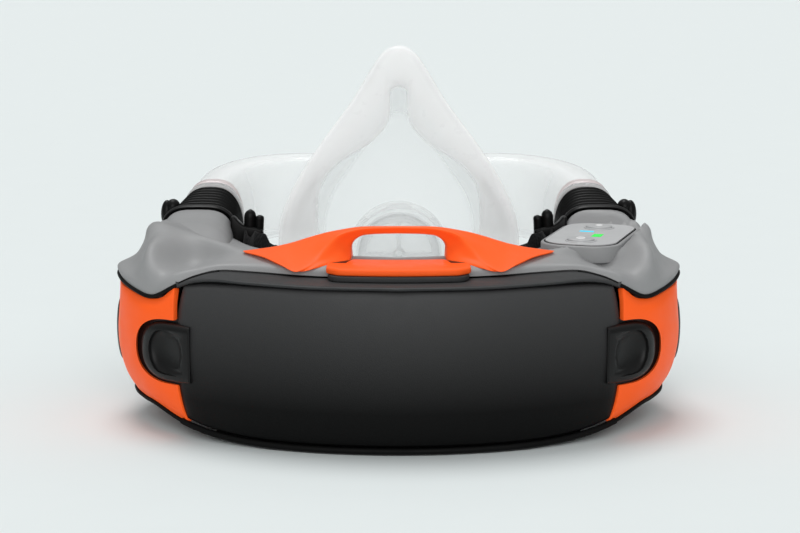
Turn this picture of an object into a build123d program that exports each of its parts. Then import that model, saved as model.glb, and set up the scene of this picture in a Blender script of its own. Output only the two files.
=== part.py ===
"""Neck-worn powered air respirator: a blower unit behind the neck, two bellows arms and a half mask.

+Y runs from the filter cover at the wearer's back towards the mask, +X is the wearer's right, +Z is up.
The origin is at the bottom centre of the whole object. All sizes are in millimetres.
"""

import os
from math import cos, radians, sin, sqrt

from build123d import *

# The unit behind the neck
HALF_WIDTH = 101.8  # outer side faces
BACK_RADIUS = 129.0  # curve of the back, seen from above
BACK_Y = 5.0  # centre of that curve
NECK_RADIUS = 63.2  # inner wall round the neck
NECK_Y = -7.0  # centre of that wall
ARM_OUTER = 91.8  # outer face of the arms
SHOULDER_Y = (-52.0, -26.0)  # where the sides draw in to the arms
TOP_Z = 60.4
HORN_TOP = 73.0
ARM_TOP = 68.4
SPLIT_Z = 48.9  # top of the lower shell
GASKET = 0.8
WALL = 2.0
FRAME_WALL = 2.7  # the side frames wrap round the lower shell
FRAME_END_Y = -36.0
FIT = 0.1  # clearance between fixed pieces
GAP = 0.3  # clearance round pieces that move
RUNNING = 0.05  # radial clearance of pins and shafts
TALL = 140.0

# Filter bay, cover and filter
BAY_RADIUS = 102.0
BAY_HALF = 77.6
BAY_FLOOR = 2.0
BAY_ROOF = 58.4
BAND_RADIUS = 110.0
COVER_HALF = 77.0
COVER_Z = (2.4, 56.8)
COVER_WALL = 2.4
COVER_RIM = 117.0
FILTER_RADII = (103.7, 116.0)
FILTER_HALF = 73.0
FILTER_Z = (4.0, 54.5)

# Latches
LATCH_Z = (20.0, 40.6)
LATCH_PIN = (75.6, 122.6)  # X and distance from the axis of the back's curve
LATCH_END = 89.2
LATCH_GAP = 0.6
POCKET_X = (70.0, 93.5)
LATCH_RADII = (122.2, 130.4)
PIN_R = 1.2

# Arms and bellows, tilted up towards the mask
ARM_TILT = 7.0
ARM_END = (77.5, -12.0, 49.3)
ARM_SIZE = (28.6, 38.0)
COLLAR_X = 73.0  # the bellows lead in towards the mask
COLLAR_SIZE = (24.0, 37.0)
BELLOWS_WALL = 1.1
DUCT_TIP = (20.4, 25.0)
SPIGOT_SIZE = (20.4, 29.8)
SPIGOT_LENGTH = 5.5
BELLOWS_LENGTH = 34.0
RIBS = 9
RIB_DEPTH = 2.4
COLLAR_LENGTH = 6.0
CUFF_LENGTH = 8.0
DUCT_SIZE = (19.0, 35.0)
DUCT_WALL = 1.6
DUCT_BEND = 40.0
DUCT_TURN = 90.0
DUCT_STRAIGHT = 8.0

# Keypad on the right arm
KEYPAD_SIZE = (26.0, 50.0)
KEYPAD_CORNER = 9.0
KEYPAD_CENTRE = (70.8, -48.0)
KEYPAD_TURN = -17.9
KEYPAD_Z = 62.2
KEYPAD_THICK = 1.8
BUTTON_R = 4.7
BUTTON_OFFSETS = {"power_button": -17.0, "flow_button": 14.5}
BUTTON_TRAVEL = 0.8
# Place across and along the keypad, then width and length of each indicator lens
LEDS = {
    "blue_led": (-2.6, 5.0, 5.2, 2.2),
    "green_led": (3.2, -3.4, 3.4, 6.4),
    "red_led": (-2.2, -9.4, 4.6, 1.5),
}

# Trim
CAP_CENTRE = (-57.0, 31.0)
CAP_SIZE = (5.0, 12.0)
CAP_DEPTH = (100.2, 103.2)
HANDLE_RADII = (92.0, 104.0)
HANDLE_HALF = 53.5
PAD_THICKNESS = 5.8
PAD_Z = (14.0, 60.0)
PAD_END_Y = -20.0

# Electronics
BATTERY_CENTRE = (42.4, -71.0, 27.0)
BATTERY_SIZE = (32.0, 15.0, 40.0)
BATTERY_TURN = 32.0
PORT_SPOT = (-36.0, -78.0)
PORT_R = 4.5

# Blower
FAN_Z = 30.0
FAN_RADIUS = 20.0
DRUM_RADIUS = 25.5
DRUM_Y = (-90.0, -73.6)
BLADES = 13
SCREW_SPOTS = [(86.0, -58.0), (84.0, -72.0)]

# Mask
FACE_RADIUS = 114.0  # curve of the seal round the face
SEAL_Y = (50.0, 64.0, 72.0)  # cheeks, nose and joint with the shell
SHELL_Y = (72.3, 112.0)
SEAL_WALL = 3.0
LIP_OUTLINE = [
    (0, 126.2), (9, 120.5), (20, 104), (33, 87.5), (46.5, 70), (54.6, 50), (50, 27), (33, 9), (0, 2.2),
]
JOINT_OUTLINE = [(0, 109), (8, 104), (17, 91), (28, 77), (39, 62), (45.6, 46), (42, 25), (28, 9), (0, 3)]
FRONT_OUTLINE = [(0, 96), (8, 92), (15, 83), (24, 70), (32, 57), (35, 42), (32, 22), (21, 8.5), (0, 4.5)]
OPENING = [(0, 108), (5, 99), (14.8, 81.3), (30.8, 69.3), (34.3, 55), (32, 36), (22, 20), (0, 14)]
VALVE_Z = 29.0
VALVE_RADIUS = 23.0
VALVE_LIFT = 2.0
VALVE_FRONT = 124.0

ARM_FRAME = Plane(
    origin=(0, ARM_END[1], ARM_END[2]),
    x_dir=(1, 0, 0),
    z_dir=(0, -sin(radians(ARM_TILT)), cos(radians(ARM_TILT))),
)

pieces = {}


def keep(name, shape):
    """Names a finished piece and sets it aside for export."""
    shape.label = name
    pieces[name] = shape


def keep_pair(stem, right):
    """Keeps the right-hand piece and its mirror image."""
    keep("right_" + stem, right)
    keep("left_" + stem, mirror(right, about=Plane.YZ))


def across_y(y):
    """Plane facing +Y, with X to the right and Z up seen from the mask's side."""
    return Plane(origin=(0, y, 0), x_dir=(-1, 0, 0), z_dir=(0, 1, 0))


def block(x, y, z):
    """A box from its ranges of X, Y and Z."""
    with BuildPart() as made:
        with Locations((x[0], y[0], z[0])):
            Box(x[1] - x[0], y[1] - y[0], z[1] - z[0], align=(Align.MIN, Align.MIN, Align.MIN))
    return made.part


def sector(radii, half, z):
    """Part of a ring about the axis of the back's curve, between two flat ends."""
    with BuildPart() as made:
        with BuildSketch(Plane.XY.offset(z[0])):
            with Locations((0, BACK_Y)):
                Circle(radii[1])
                if radii[0] > 0:
                    Circle(radii[0], mode=Mode.SUBTRACT)
            with Locations((0, BACK_Y - 100)):
                Rectangle(2 * half, 200, mode=Mode.INTERSECT)
        extrude(amount=z[1] - z[0])
    return made.part


def unit_plan(inset):
    """Outline of the unit from above: a horseshoe, open towards the mask."""
    side = HALF_WIDTH - inset
    radius = BACK_RADIUS - inset
    arm = ARM_OUTER - inset
    corner = BACK_Y - sqrt(radius**2 - side**2)
    with BuildSketch() as plan:
        with BuildLine():
            ThreePointArc((-side, corner), (0, BACK_Y - radius), (side, corner))
            Polyline(
                (side, corner),
                (side, SHOULDER_Y[0]),
                (arm, SHOULDER_Y[1]),
                (arm, 5),
                (-arm, 5),
                (-arm, SHOULDER_Y[1]),
                (-side, SHOULDER_Y[0]),
                (-side, corner),
            )
        make_face()
        fillet([v for v in plan.vertices() if v.Y < SHOULDER_Y[0] - 5], 15 - inset)
        with Locations((0, NECK_Y)):
            Circle(NECK_RADIUS + inset, mode=Mode.SUBTRACT)
        with Locations((0, NECK_Y + 50)):
            Rectangle(2 * (NECK_RADIUS + inset), 100, mode=Mode.SUBTRACT)
    return plan.sketch


def unit_elevation(lift, drop):
    """Outline of the unit from the back: a keel that rises to the sides, and horns over the arms."""
    side = HALF_WIDTH + 1.0
    keel = [(side, 34 + lift), (99.5, 19 + lift), (88, 8.5 + lift), (64, 1.5 + lift), (44, lift)]
    top = [(30, TOP_Z - drop), (52, 62.5 - drop), (72, 67 - drop), (84, HORN_TOP - drop), (91, 69.5 - drop)]
    top += [(97, 58 - drop), (side, 53 - drop)]
    left_keel = [(-x, z) for x, z in reversed(keel)]
    left_top = [(-x, z) for x, z in reversed(top)]
    with BuildSketch(Plane.XZ) as outline:
        with BuildLine():
            Polyline(*keel, *left_keel, *left_top, *top, keel[0])
        make_face()
    return outline.sketch


def below_arms(lift):
    """Space under the arms, which stand off the floor."""
    with BuildPart() as made:
        with BuildSketch(Plane.YZ):
            with BuildLine():
                Polyline(
                    (-66, -5), (-60, lift), (-34, 13 + lift), (-10, 29.5 + lift),
                    (8, 30 + lift), (8, -5), (-66, -5),
                )
            make_face()
        extrude(amount=HALF_WIDTH + 5, both=True)
    return made.part


def above_arms(drop):
    """Space above the arms, in front of the horns."""
    with BuildPart() as made:
        with BuildSketch(Plane.YZ):
            with BuildLine():
                Polyline(
                    (-48, HORN_TOP + 2), (-40, ARM_TOP - drop), (8, ARM_TOP - drop),
                    (8, 90), (-48, 90), (-48, HORN_TOP + 2),
                )
            make_face()
        extrude(amount=HALF_WIDTH + 5, both=True)
    return made.part


def behind_horns(drop):
    """Space above the shoulders, which slope from the back up to the horns."""
    with BuildPart() as made:
        with BuildSketch(Plane.XZ):
            with BuildLine():
                Polyline(
                    (132, 48 - drop), (127, 50.5 - drop), (106, HORN_TOP + 1 - drop),
                    (106, 90), (150, 90), (150, 48), (132, 48 - drop),
                )
            make_face()
        revolve(axis=Axis.Z)
    return made.part.moved(Location((0, BACK_Y, 0)))


def beyond_arms(inset):
    """Space past the tilted end faces of the arms."""
    with BuildPart() as made:
        with BuildSketch(ARM_FRAME):
            with Locations((0, 40 - inset)):
                Rectangle(260, 80)
        extrude(amount=100, both=True)
    return made.part


def unit_solid(inset, vertical):
    """The whole unit as one solid, inset all round."""
    plan = unit_plan(inset)
    elevation = unit_elevation(vertical, vertical)
    cuts = [below_arms(vertical), above_arms(vertical), behind_horns(vertical), beyond_arms(GAP + inset)]
    with BuildPart() as made:
        extrude(plan, amount=TALL)
        extrude(elevation, amount=TALL, both=True, mode=Mode.INTERSECT)
        for cut in cuts:
            add(cut, mode=Mode.SUBTRACT)
    return made.part


def both_sides(shape):
    """A right-hand shape and its mirror image."""
    return [shape, mirror(shape, about=Plane.YZ)]


def arm_bore():
    """The air path inside the right arm, as a solid."""
    start = Plane(origin=(74, -52, 44), x_dir=(1, 0, 0), z_dir=(0, 1, 0))
    tip = Plane(origin=(ARM_END[0], ARM_END[1] + 4, ARM_END[2] - 1.5), x_dir=(1, 0, 0), z_dir=(0, 1, 0))
    return start, tip


def make_arm_ducts():
    """Inner air ducts: they end in spigots that hold the bellows."""
    start, tip = arm_bore()
    with BuildPart() as duct:
        with BuildSketch(start):
            RectangleRounded(20, 26, 6)
        with BuildSketch(tip):
            RectangleRounded(*DUCT_TIP, 8)
        loft()
        with BuildSketch(tip):
            with Locations((0, -1.5)):
                RectangleRounded(*SPIGOT_SIZE, 8)
        extrude(amount=-SPIGOT_LENGTH)
        with BuildSketch(start):
            RectangleRounded(17, 23, 4.5)
        with BuildSketch(tip):
            RectangleRounded(DUCT_TIP[0] - 3, DUCT_TIP[1] - 3, 6.5)
        loft(mode=Mode.SUBTRACT)
    keep_pair("arm_duct", duct.part)


def keypad_solid(size, z, corner=5.0):
    """A rounded block turned like the keypad."""
    with BuildPart() as made:
        with BuildSketch(Plane.XY.offset(z[0])):
            with Locations(Location((*KEYPAD_CENTRE, 0), (0, 0, KEYPAD_TURN))):
                RectangleRounded(*size, corner)
        extrude(amount=z[1] - z[0])
    return made.part


def screw_axis(radius, z):
    """Upright cylinders on all screw positions."""
    with BuildPart() as made:
        for sign in (1, -1):
            with Locations([(sign * x, y, z[0]) for x, y in SCREW_SPOTS]):
                Cylinder(radius, z[1] - z[0], align=(Align.CENTER, Align.CENTER, Align.MIN))
    return made.part


def make_shells():
    """Lower shell, gasket, upper shell and the two side frames."""
    outer = unit_solid(0, 0)
    skin = unit_solid(FRAME_WALL + FIT, 0)
    cavity = unit_solid(FRAME_WALL + FIT + WALL, WALL)
    wide_cavity = unit_solid(WALL, WALL)
    arms = block((-110, 110), (FRAME_END_Y + FIT, 10), (-1, TALL))
    arm_hollow = block((-110, 110), (FRAME_END_Y + FIT + WALL, 10), (-1, TALL))
    middle = block((-BAY_HALF - WALL, BAY_HALF + WALL), (-85, FRAME_END_Y + WALL), (-1, TALL))
    below = block((-110, 110), (-140, 10), (-1, SPLIT_Z))
    above = block((-110, 110), (-140, 10), (SPLIT_Z + GASKET + FIT, TALL))
    bay = sector((BAY_RADIUS, 160), BAY_HALF, (BAY_FLOOR, BAY_ROOF))
    bay_ring = (BAY_RADIUS - WALL, BACK_RADIUS - FRAME_WALL - FIT)
    bay_walls = sector(bay_ring, BAY_HALF + WALL, (0, BAY_ROOF + WALL))
    open_top = sector((BAND_RADIUS, 160), BAY_HALF, (BAY_FLOOR, TALL))
    latch_z = (LATCH_Z[0] - LATCH_GAP, LATCH_Z[1] + LATCH_GAP)
    latch_hollow = sector((LATCH_RADII[0] - 0.8, 160), POCKET_X[1], latch_z)
    latch_hollow = latch_hollow & block(POCKET_X, (-140, -60), latch_z)
    with BuildPart() as knuckle_hollow:
        with Locations((*latch_pin_spot(), latch_z[0])):
            Cylinder(5.2, latch_z[1] - latch_z[0], align=(Align.CENTER, Align.CENTER, Align.MIN))
    latch_hollow = latch_hollow + knuckle_hollow.part
    with BuildPart() as inlet:
        with BuildSketch(across_y(-105)):
            with Locations((0, FAN_Z)):
                Circle(15)
        extrude(amount=20)
    boss = screw_axis(3.4, (1, 80)) & outer
    with BuildPart() as mouth:
        with BuildSketch(Plane(origin=ARM_END, x_dir=(1, 0, 0), z_dir=(0, 1, 0))):
            RectangleRounded(SPIGOT_SIZE[0] + 1.4, SPIGOT_SIZE[1] + 1.4, 8.6)
        extrude(amount=6, both=True)
    mouths = both_sides(mouth.part)
    latch_hollows = both_sides(latch_hollow)

    with BuildPart() as lower:
        add(skin)
        add(outer & (arms + middle))
        add(cavity, mode=Mode.SUBTRACT)
        add(wide_cavity & (arm_hollow + middle), mode=Mode.SUBTRACT)
        add(bay_walls & outer)
        add(boss)
        add(bay, mode=Mode.SUBTRACT)
        add(inlet.part, mode=Mode.SUBTRACT)
        for cut in latch_hollows + mouths:
            add(cut, mode=Mode.SUBTRACT)
        add(screw_axis(1.6, (-5, SPLIT_Z + 5)), mode=Mode.SUBTRACT)
        add(screw_axis(3.0, (-5, 13)), mode=Mode.SUBTRACT)
        with Locations((*PORT_SPOT, -1)):
            Cylinder(PORT_R + FIT, 4, align=(Align.CENTER, Align.CENTER, Align.MIN), mode=Mode.SUBTRACT)
        add(below, mode=Mode.INTERSECT)
    keep("lower_shell", lower.part)

    rim = lower.part & block((-110, 110), (-140, 10), (SPLIT_Z - GASKET, SPLIT_Z))
    rim = rim - screw_axis(8, (0, TALL))
    keep("shell_gasket", rim.moved(Location((0, 0, GASKET + FIT / 2))))

    bed = keypad_solid((KEYPAD_SIZE[0] + 3, KEYPAD_SIZE[1] + 3), (KEYPAD_Z - 2.4, KEYPAD_Z))
    pocket = keypad_solid((KEYPAD_SIZE[0] + 2, KEYPAD_SIZE[1] + 2), (KEYPAD_Z, TALL), KEYPAD_CORNER + 1)
    with BuildPart() as upper:
        add(outer)
        add(wide_cavity, mode=Mode.SUBTRACT)
        add(bay_walls & outer)
        add(boss)
        add(bed & outer)
        add(pocket, mode=Mode.SUBTRACT)
        for cut in [open_top, bay, *mouths]:
            add(cut, mode=Mode.SUBTRACT)
        add(screw_axis(1.5, (0, 55.4)), mode=Mode.SUBTRACT)
        add(above, mode=Mode.INTERSECT)
    keep("upper_shell", upper.part)

    side = block((BAY_HALF + GAP, 120), (-140, FRAME_END_Y - FIT), (-1, SPLIT_Z))
    with BuildPart() as frame:
        add(outer)
        add(unit_solid(FRAME_WALL, 0), mode=Mode.SUBTRACT)
        add(side, mode=Mode.INTERSECT)
        add(block(POCKET_X, (-130, -77), latch_z), mode=Mode.SUBTRACT)
        add(cap_solid(CAP_DEPTH[0] - FIT, FIT), mode=Mode.SUBTRACT)
    keep_pair("side_frame", frame.part)


def latch_pin_spot():
    """Place of the right latch's pin, seen from above."""
    pin_x, pin_radius = LATCH_PIN
    return pin_x, BACK_Y - sqrt(pin_radius**2 - pin_x**2)


def cap_solid(start, grow=0.0):
    """Lens-shaped cap on the right flank, as a solid that starts at the given X."""
    with BuildPart() as cap:
        with BuildSketch(Plane.YZ.offset(start)):
            with Locations(CAP_CENTRE):
                Ellipse(CAP_SIZE[0] + grow, CAP_SIZE[1] + grow)
        extrude(amount=CAP_DEPTH[1] - start)
    return cap.part


def make_trim():
    """Band over the cover, handle, tongue plate and its tray, neck pad, screws and strap holders."""
    keep("trim_band", sector((BAND_RADIUS + FIT, 126.5), COVER_HALF, (COVER_Z[1] + GAP, BAY_ROOF - FIT)))
    keep_pair("side_cap", cap_solid(CAP_DEPTH[0]))

    with BuildPart() as handle:
        add(sector(HANDLE_RADII, HANDLE_HALF, (TOP_Z, 80)))
        with BuildSketch(Plane.XZ):
            with BuildLine():
                top = [(-HANDLE_HALF, 64.4), (-42, 66), (-30, 69.6), (-16, 72.2), (0, 72.7)]
                foot = [(30, TOP_Z + FIT), (-30, TOP_Z + FIT), (-HANDLE_HALF, 63.2)]
                right_top = [(-x, z) for x, z in reversed(top[:-1])]
                Polyline(*top, *right_top, (HANDLE_HALF, 63.2), *foot, top[0])
            make_face()
            with Locations((0, 66.4)):
                RectangleRounded(32.8, 8.4, 3.4, mode=Mode.SUBTRACT)
        extrude(amount=150, mode=Mode.INTERSECT)
    keep("handle", handle.part)

    with BuildPart() as tongue:
        add(sector((HANDLE_RADII[1] + GAP, 117), 24.5, (TOP_Z + 0.2, TOP_Z + 1.8)))
        add(sector((114, 117), 24.5, (59.0, TOP_Z + 0.4)))
    keep("tongue_plate", tongue.part)
    keep("tongue_tray", sector((BAND_RADIUS + GAP, 113.6), 26.5, (BAY_ROOF, TOP_Z + FIT)))

    with BuildPart() as pad:
        with BuildSketch(Plane.XY.offset(PAD_Z[0])):
            with Locations((0, NECK_Y)):
                Circle(NECK_RADIUS - 0.2)
                Circle(NECK_RADIUS - PAD_THICKNESS, mode=Mode.SUBTRACT)
            with Locations((0, PAD_END_Y - 60)):
                Rectangle(140, 120, mode=Mode.INTERSECT)
        extrude(amount=PAD_Z[1] - PAD_Z[0])
        add(below_arms(1.0), mode=Mode.SUBTRACT)
    keep("neck_pad", pad.part)

    screws = screw_axis(1.4, (10.4, 55.0)) + screw_axis(2.7, (10.4, 12.9))
    keep("housing_screws", screws)

    with BuildPart() as stud:
        with BuildSketch(Plane.YZ.offset(86.0)):
            with Locations((-17.0, ARM_TOP + 2.0)):
                RectangleRounded(5.0, 4.0 - 0.1, 1.4)
        extrude(amount=5.0)
    keep_pair("strap_stud", stud.part.moved(Location((0, 0, FIT))))

    with BuildPart() as hook:
        with BuildSketch(Plane.XZ.offset(15)):
            with BuildLine():
                wall = NECK_RADIUS - 1.4
                base = [(wall, 57), (56, 58.5), (53.4, 65), (55, 66.6), (57.2, 61.8), (59, 61.6)]
                Polyline(*base, (57.6, 67.6), (59.4, 68.8), (61.6, 62.4), (wall, 62.6), (wall, 57))
            make_face()
        extrude(amount=3.6)
    keep_pair("strap_hook", hook.part)


def make_filter():
    """Filter cover, frame, pleated filter and seal, with the two latches and their pins."""
    pin_x, pin_y = latch_pin_spot()
    inner = (COVER_Z[0] + COVER_WALL, COVER_Z[1] - COVER_WALL)
    notches = both_sides(block((pin_x - 5.2, 80), (-130, -84), (LATCH_Z[0] - GAP, LATCH_Z[1] + GAP)))
    lugs = both_sides(block((pin_x - 5.5, COVER_HALF), (-130, -90), (LATCH_Z[0] - 4, LATCH_Z[1] + 4)))
    cover_solid = sector((COVER_RIM, BACK_RADIUS), COVER_HALF, COVER_Z)
    with BuildPart() as cover:
        add(cover_solid)
        add(sector((0, BACK_RADIUS - COVER_WALL), COVER_HALF - COVER_WALL, inner), mode=Mode.SUBTRACT)
        for lug in lugs:
            add(lug & cover_solid)
        for notch in notches:
            add(notch, mode=Mode.SUBTRACT)
        with Locations((pin_x, pin_y, LATCH_Z[0] - 3), (-pin_x, pin_y, LATCH_Z[0] - 3)):
            Cylinder(
                PIN_R + RUNNING,
                LATCH_Z[1] - LATCH_Z[0] + 6,
                align=(Align.CENTER, Align.CENTER, Align.MIN),
                mode=Mode.SUBTRACT,
            )
    keep("filter_cover", cover.part)

    inner_radius, outer_radius = FILTER_RADII
    with BuildPart() as frame:
        add(sector(FILTER_RADII, FILTER_HALF, FILTER_Z))
        window = (FILTER_Z[0] + 3, FILTER_Z[1] - 3)
        add(sector((0, 200), FILTER_HALF - 3, window), mode=Mode.SUBTRACT)
        for sign in (1, -1):
            rib = sector((inner_radius, inner_radius + 1.5), 200, window)
            add(rib & block((sign * 24 - 1, sign * 24 + 1), (-140, -60), window), mode=Mode.ADD)
    keep("filter_frame", frame.part)
    media_z = (FILTER_Z[0] + 3 + FIT, FILTER_Z[1] - 3 - FIT)
    keep("filter_media", sector((inner_radius + 1.8, outer_radius - 0.6), FILTER_HALF - 3 - FIT, media_z))
    with BuildPart() as seal:
        add(sector((BAY_RADIUS + GAP, inner_radius - FIT), FILTER_HALF, FILTER_Z))
        add(sector((0, 200), FILTER_HALF - 4, (FILTER_Z[0] + 4, FILTER_Z[1] - 4)), mode=Mode.SUBTRACT)
    keep("filter_seal", seal.part)

    with BuildPart() as latch:
        with BuildSketch(Plane.XY.offset(LATCH_Z[0])):
            with Locations((0, BACK_Y)):
                Circle(LATCH_RADII[1])
                Circle(LATCH_RADII[0], mode=Mode.SUBTRACT)
            with Locations(((pin_x + LATCH_END) / 2, -95)):
                Rectangle(LATCH_END - pin_x, 60, mode=Mode.INTERSECT)
            with Locations((pin_x, pin_y)):
                Circle(4.4)
        extrude(amount=LATCH_Z[1] - LATCH_Z[0])
        with BuildSketch(Plane.XZ):
            with Locations(((pin_x - 6 + LATCH_END) / 2, (LATCH_Z[0] + LATCH_Z[1]) / 2)):
                RectangleRounded(LATCH_END - pin_x + 6, LATCH_Z[1] - LATCH_Z[0], 6.5)
            with Locations((pin_x, (LATCH_Z[0] + LATCH_Z[1]) / 2)):
                Rectangle(10, LATCH_Z[1] - LATCH_Z[0])
        extrude(amount=150, mode=Mode.INTERSECT)
        with Locations((pin_x, pin_y, LATCH_Z[0] - 1)):
            Cylinder(PIN_R + RUNNING, 30, align=(Align.CENTER, Align.CENTER, Align.MIN), mode=Mode.SUBTRACT)
    keep_pair("latch", latch.part)
    with BuildPart() as pin:
        with Locations((pin_x, pin_y, LATCH_Z[0] - 2.8)):
            Cylinder(PIN_R, LATCH_Z[1] - LATCH_Z[0] + 5.6, align=(Align.CENTER, Align.CENTER, Align.MIN))
    keep_pair("latch_pin", pin.part)


def turned_on_y(radii, y, centre_z=FAN_Z):
    """A disc or ring about the blower's axis."""
    with BuildPart() as made:
        with BuildSketch(across_y(y[0])):
            with Locations((0, centre_z)):
                Circle(radii[1])
                if radii[0] > 0:
                    Circle(radii[0], mode=Mode.SUBTRACT)
        extrude(amount=y[1] - y[0])
    return made.part


def make_blower():
    """Blower housing, impeller on its shaft, motor, and bearings."""
    front, back = DRUM_Y
    with BuildPart() as housing:
        add(turned_on_y((0, DRUM_RADIUS), DRUM_Y))
        add(turned_on_y((0, DRUM_RADIUS - 1.8), (front + 1.8, back - 1.8)), mode=Mode.SUBTRACT)
        add(turned_on_y((0, 14.0), (front - 1, front + 4)), mode=Mode.SUBTRACT)
        for sign in (1, -1):
            with Locations((sign * DRUM_RADIUS, (front + back) / 2, FAN_Z + 6)):
                Box(16, 11, 14, mode=Mode.SUBTRACT)
    keep("blower_housing", housing.part)

    motor_back = back - 1.8 - FIT
    motor_front = motor_back - 5.2
    with BuildPart() as motor:
        add(turned_on_y((0, 10.0), (motor_front, motor_back)))
        add(turned_on_y((0, 3.6), (motor_front, motor_back)), mode=Mode.SUBTRACT)
    keep("blower_motor", motor.part)
    bearing = turned_on_y((1.5 + RUNNING, 3.5), (motor_front + 0.3, motor_front + 2.1))
    with BuildPart() as bearings:
        add(bearing)
        add(bearing.moved(Location((0, 2.6, 0))))
    keep("motor_bearings", bearings.part)

    plate = motor_front - GAP
    with BuildPart() as impeller:
        add(turned_on_y((1.55, FAN_RADIUS), (plate - 1.2, plate)))
        add(turned_on_y((1.55, 5.0), (plate - 5.0, plate - 1.0)))
        add(turned_on_y((16.5, FAN_RADIUS), (plate - 7.0, plate - 6.2)))
        with Locations((0, plate - 3.7, FAN_Z)):
            for index in range(BLADES):
                with Locations(Location((0, 0, 0), (0, index * 360 / BLADES, 0))):
                    with Locations(Location((15.5, 0, 0), (0, 38, 0))):
                        Box(8.6, 5.4, 1.0)
    keep("impeller", impeller.part)
    keep("motor_shaft", turned_on_y((0, 1.5), (plate - 5.6, motor_back - 0.2)))


def make_electronics():
    """Batteries, main board and charging port."""
    with BuildPart() as battery:
        with Locations(Location(BATTERY_CENTRE, (0, 0, BATTERY_TURN))):
            Box(*BATTERY_SIZE)
        fillet(battery.edges().filter_by(Axis.Z), 4)
    keep_pair("battery_pack", battery.part)
    keep("main_board", sector((79, 97), 46, (56.4, 58.0)))
    with BuildPart() as port:
        with Locations((*PORT_SPOT, 0.4)):
            Cylinder(PORT_R, 5, align=(Align.CENTER, Align.CENTER, Align.MIN))
            Cylinder(PORT_R - 1.5, 4, align=(Align.CENTER, Align.CENTER, Align.MIN), mode=Mode.SUBTRACT)
        with Locations((*PORT_SPOT, 1.0)):
            Cylinder(0.8, 4, align=(Align.CENTER, Align.CENTER, Align.MIN))
    keep("charging_port", port.part)


def keypad_spot(across, along):
    """A place on the keypad, in the frame of the whole object."""
    turn = radians(KEYPAD_TURN)
    x = KEYPAD_CENTRE[0] + across * cos(turn) - along * sin(turn)
    y = KEYPAD_CENTRE[1] + across * sin(turn) + along * cos(turn)
    return x, y


def make_keypad():
    """Keypad plate with two buttons and three indicator lenses, its gasket and its board."""
    low = KEYPAD_Z + FIT
    plate_z = (low, low + KEYPAD_THICK)
    with BuildPart() as plate:
        add(keypad_solid(KEYPAD_SIZE, plate_z, KEYPAD_CORNER))
        for along in BUTTON_OFFSETS.values():
            with Locations((*keypad_spot(0, along), low - 1)):
                Cylinder(
                    BUTTON_R + GAP, 5, align=(Align.CENTER, Align.CENTER, Align.MIN), mode=Mode.SUBTRACT
                )
        for across, along, width, length in LEDS.values():
            spot = (*keypad_spot(across, along), low + KEYPAD_THICK)
            with Locations(Location(spot, (0, 0, KEYPAD_TURN))):
                Box(width + 2 * FIT, length + 2 * FIT, 2.0, mode=Mode.SUBTRACT)
    keep("keypad_plate", plate.part)
    rim = keypad_solid((KEYPAD_SIZE[0] + 1.8, KEYPAD_SIZE[1] + 1.8), (low, low + 1.3), KEYPAD_CORNER + 0.9)
    plate_hole = keypad_solid((KEYPAD_SIZE[0] + 0.2, KEYPAD_SIZE[1] + 0.2), (low - 1, low + 3), KEYPAD_CORNER + 0.1)
    keep("keypad_gasket", rim - plate_hole)
    for name, (across, along, width, length) in LEDS.items():
        with BuildPart() as lens:
            spot = (*keypad_spot(across, along), low + KEYPAD_THICK - 0.45)
            with Locations(Location(spot, (0, 0, KEYPAD_TURN))):
                Box(width, length, 1.0)
        keep(name, lens.part)
    for name, along in BUTTON_OFFSETS.items():
        with BuildPart() as button:
            with Locations((*keypad_spot(0, along), low + BUTTON_TRAVEL + 0.2)):
                Cylinder(BUTTON_R, 1.8, align=(Align.CENTER, Align.CENTER, Align.MIN))
            fillet(button.edges().group_by(Axis.Z)[-1], 0.5)
        keep(name, button.part)
    board_size = (KEYPAD_SIZE[0] - 12, KEYPAD_SIZE[1] - 30)
    keep("keypad_board", keypad_solid(board_size, (KEYPAD_Z - 4.1, KEYPAD_Z - 2.5), 2))


def tube(centre_x, start, length, size, bore, corner):
    """A straight piece of tube along the right arm, modelled along +Y from the arm's end."""
    with BuildPart() as made:
        with BuildSketch(Plane(origin=(centre_x, start, 0), x_dir=(1, 0, 0), z_dir=(0, 1, 0))):
            RectangleRounded(*size, corner)
            RectangleRounded(*bore, max(corner - (size[0] - bore[0]) / 2, 1.0), mode=Mode.SUBTRACT)
        extrude(amount=length)
    return made.part


def bellows_section(along, grow):
    """Rounded section of the bellows at a share of its length, where it leads in and narrows."""
    centre_x = ARM_END[0] + (COLLAR_X - ARM_END[0]) * along
    width = ARM_SIZE[0] + (COLLAR_SIZE[0] - ARM_SIZE[0]) * along + 2 * grow
    height = ARM_SIZE[1] + (COLLAR_SIZE[1] - ARM_SIZE[1]) * along + 2 * grow
    plane = Plane(origin=(centre_x, BELLOWS_LENGTH * along, 0), x_dir=(1, 0, 0), z_dir=(0, 1, 0))
    with BuildSketch(plane) as section:
        RectangleRounded(width, height, 9 + grow)
    return section.sketch.face()


def bellows_length(low, high, grow):
    """Solid between two sections of the bellows."""
    sections = [bellows_section(low, grow), bellows_section(high, grow)]
    with BuildPart() as made:
        loft(sections)
    return made.part


def in_arm_frame(shape):
    """Moves a piece modelled along +Y into the tilted frame of the arms."""
    origin = (0, ARM_END[1], ARM_END[2])
    return shape.moved(Location(origin)).rotate(Axis(origin, (1, 0, 0)), ARM_TILT)


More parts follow.
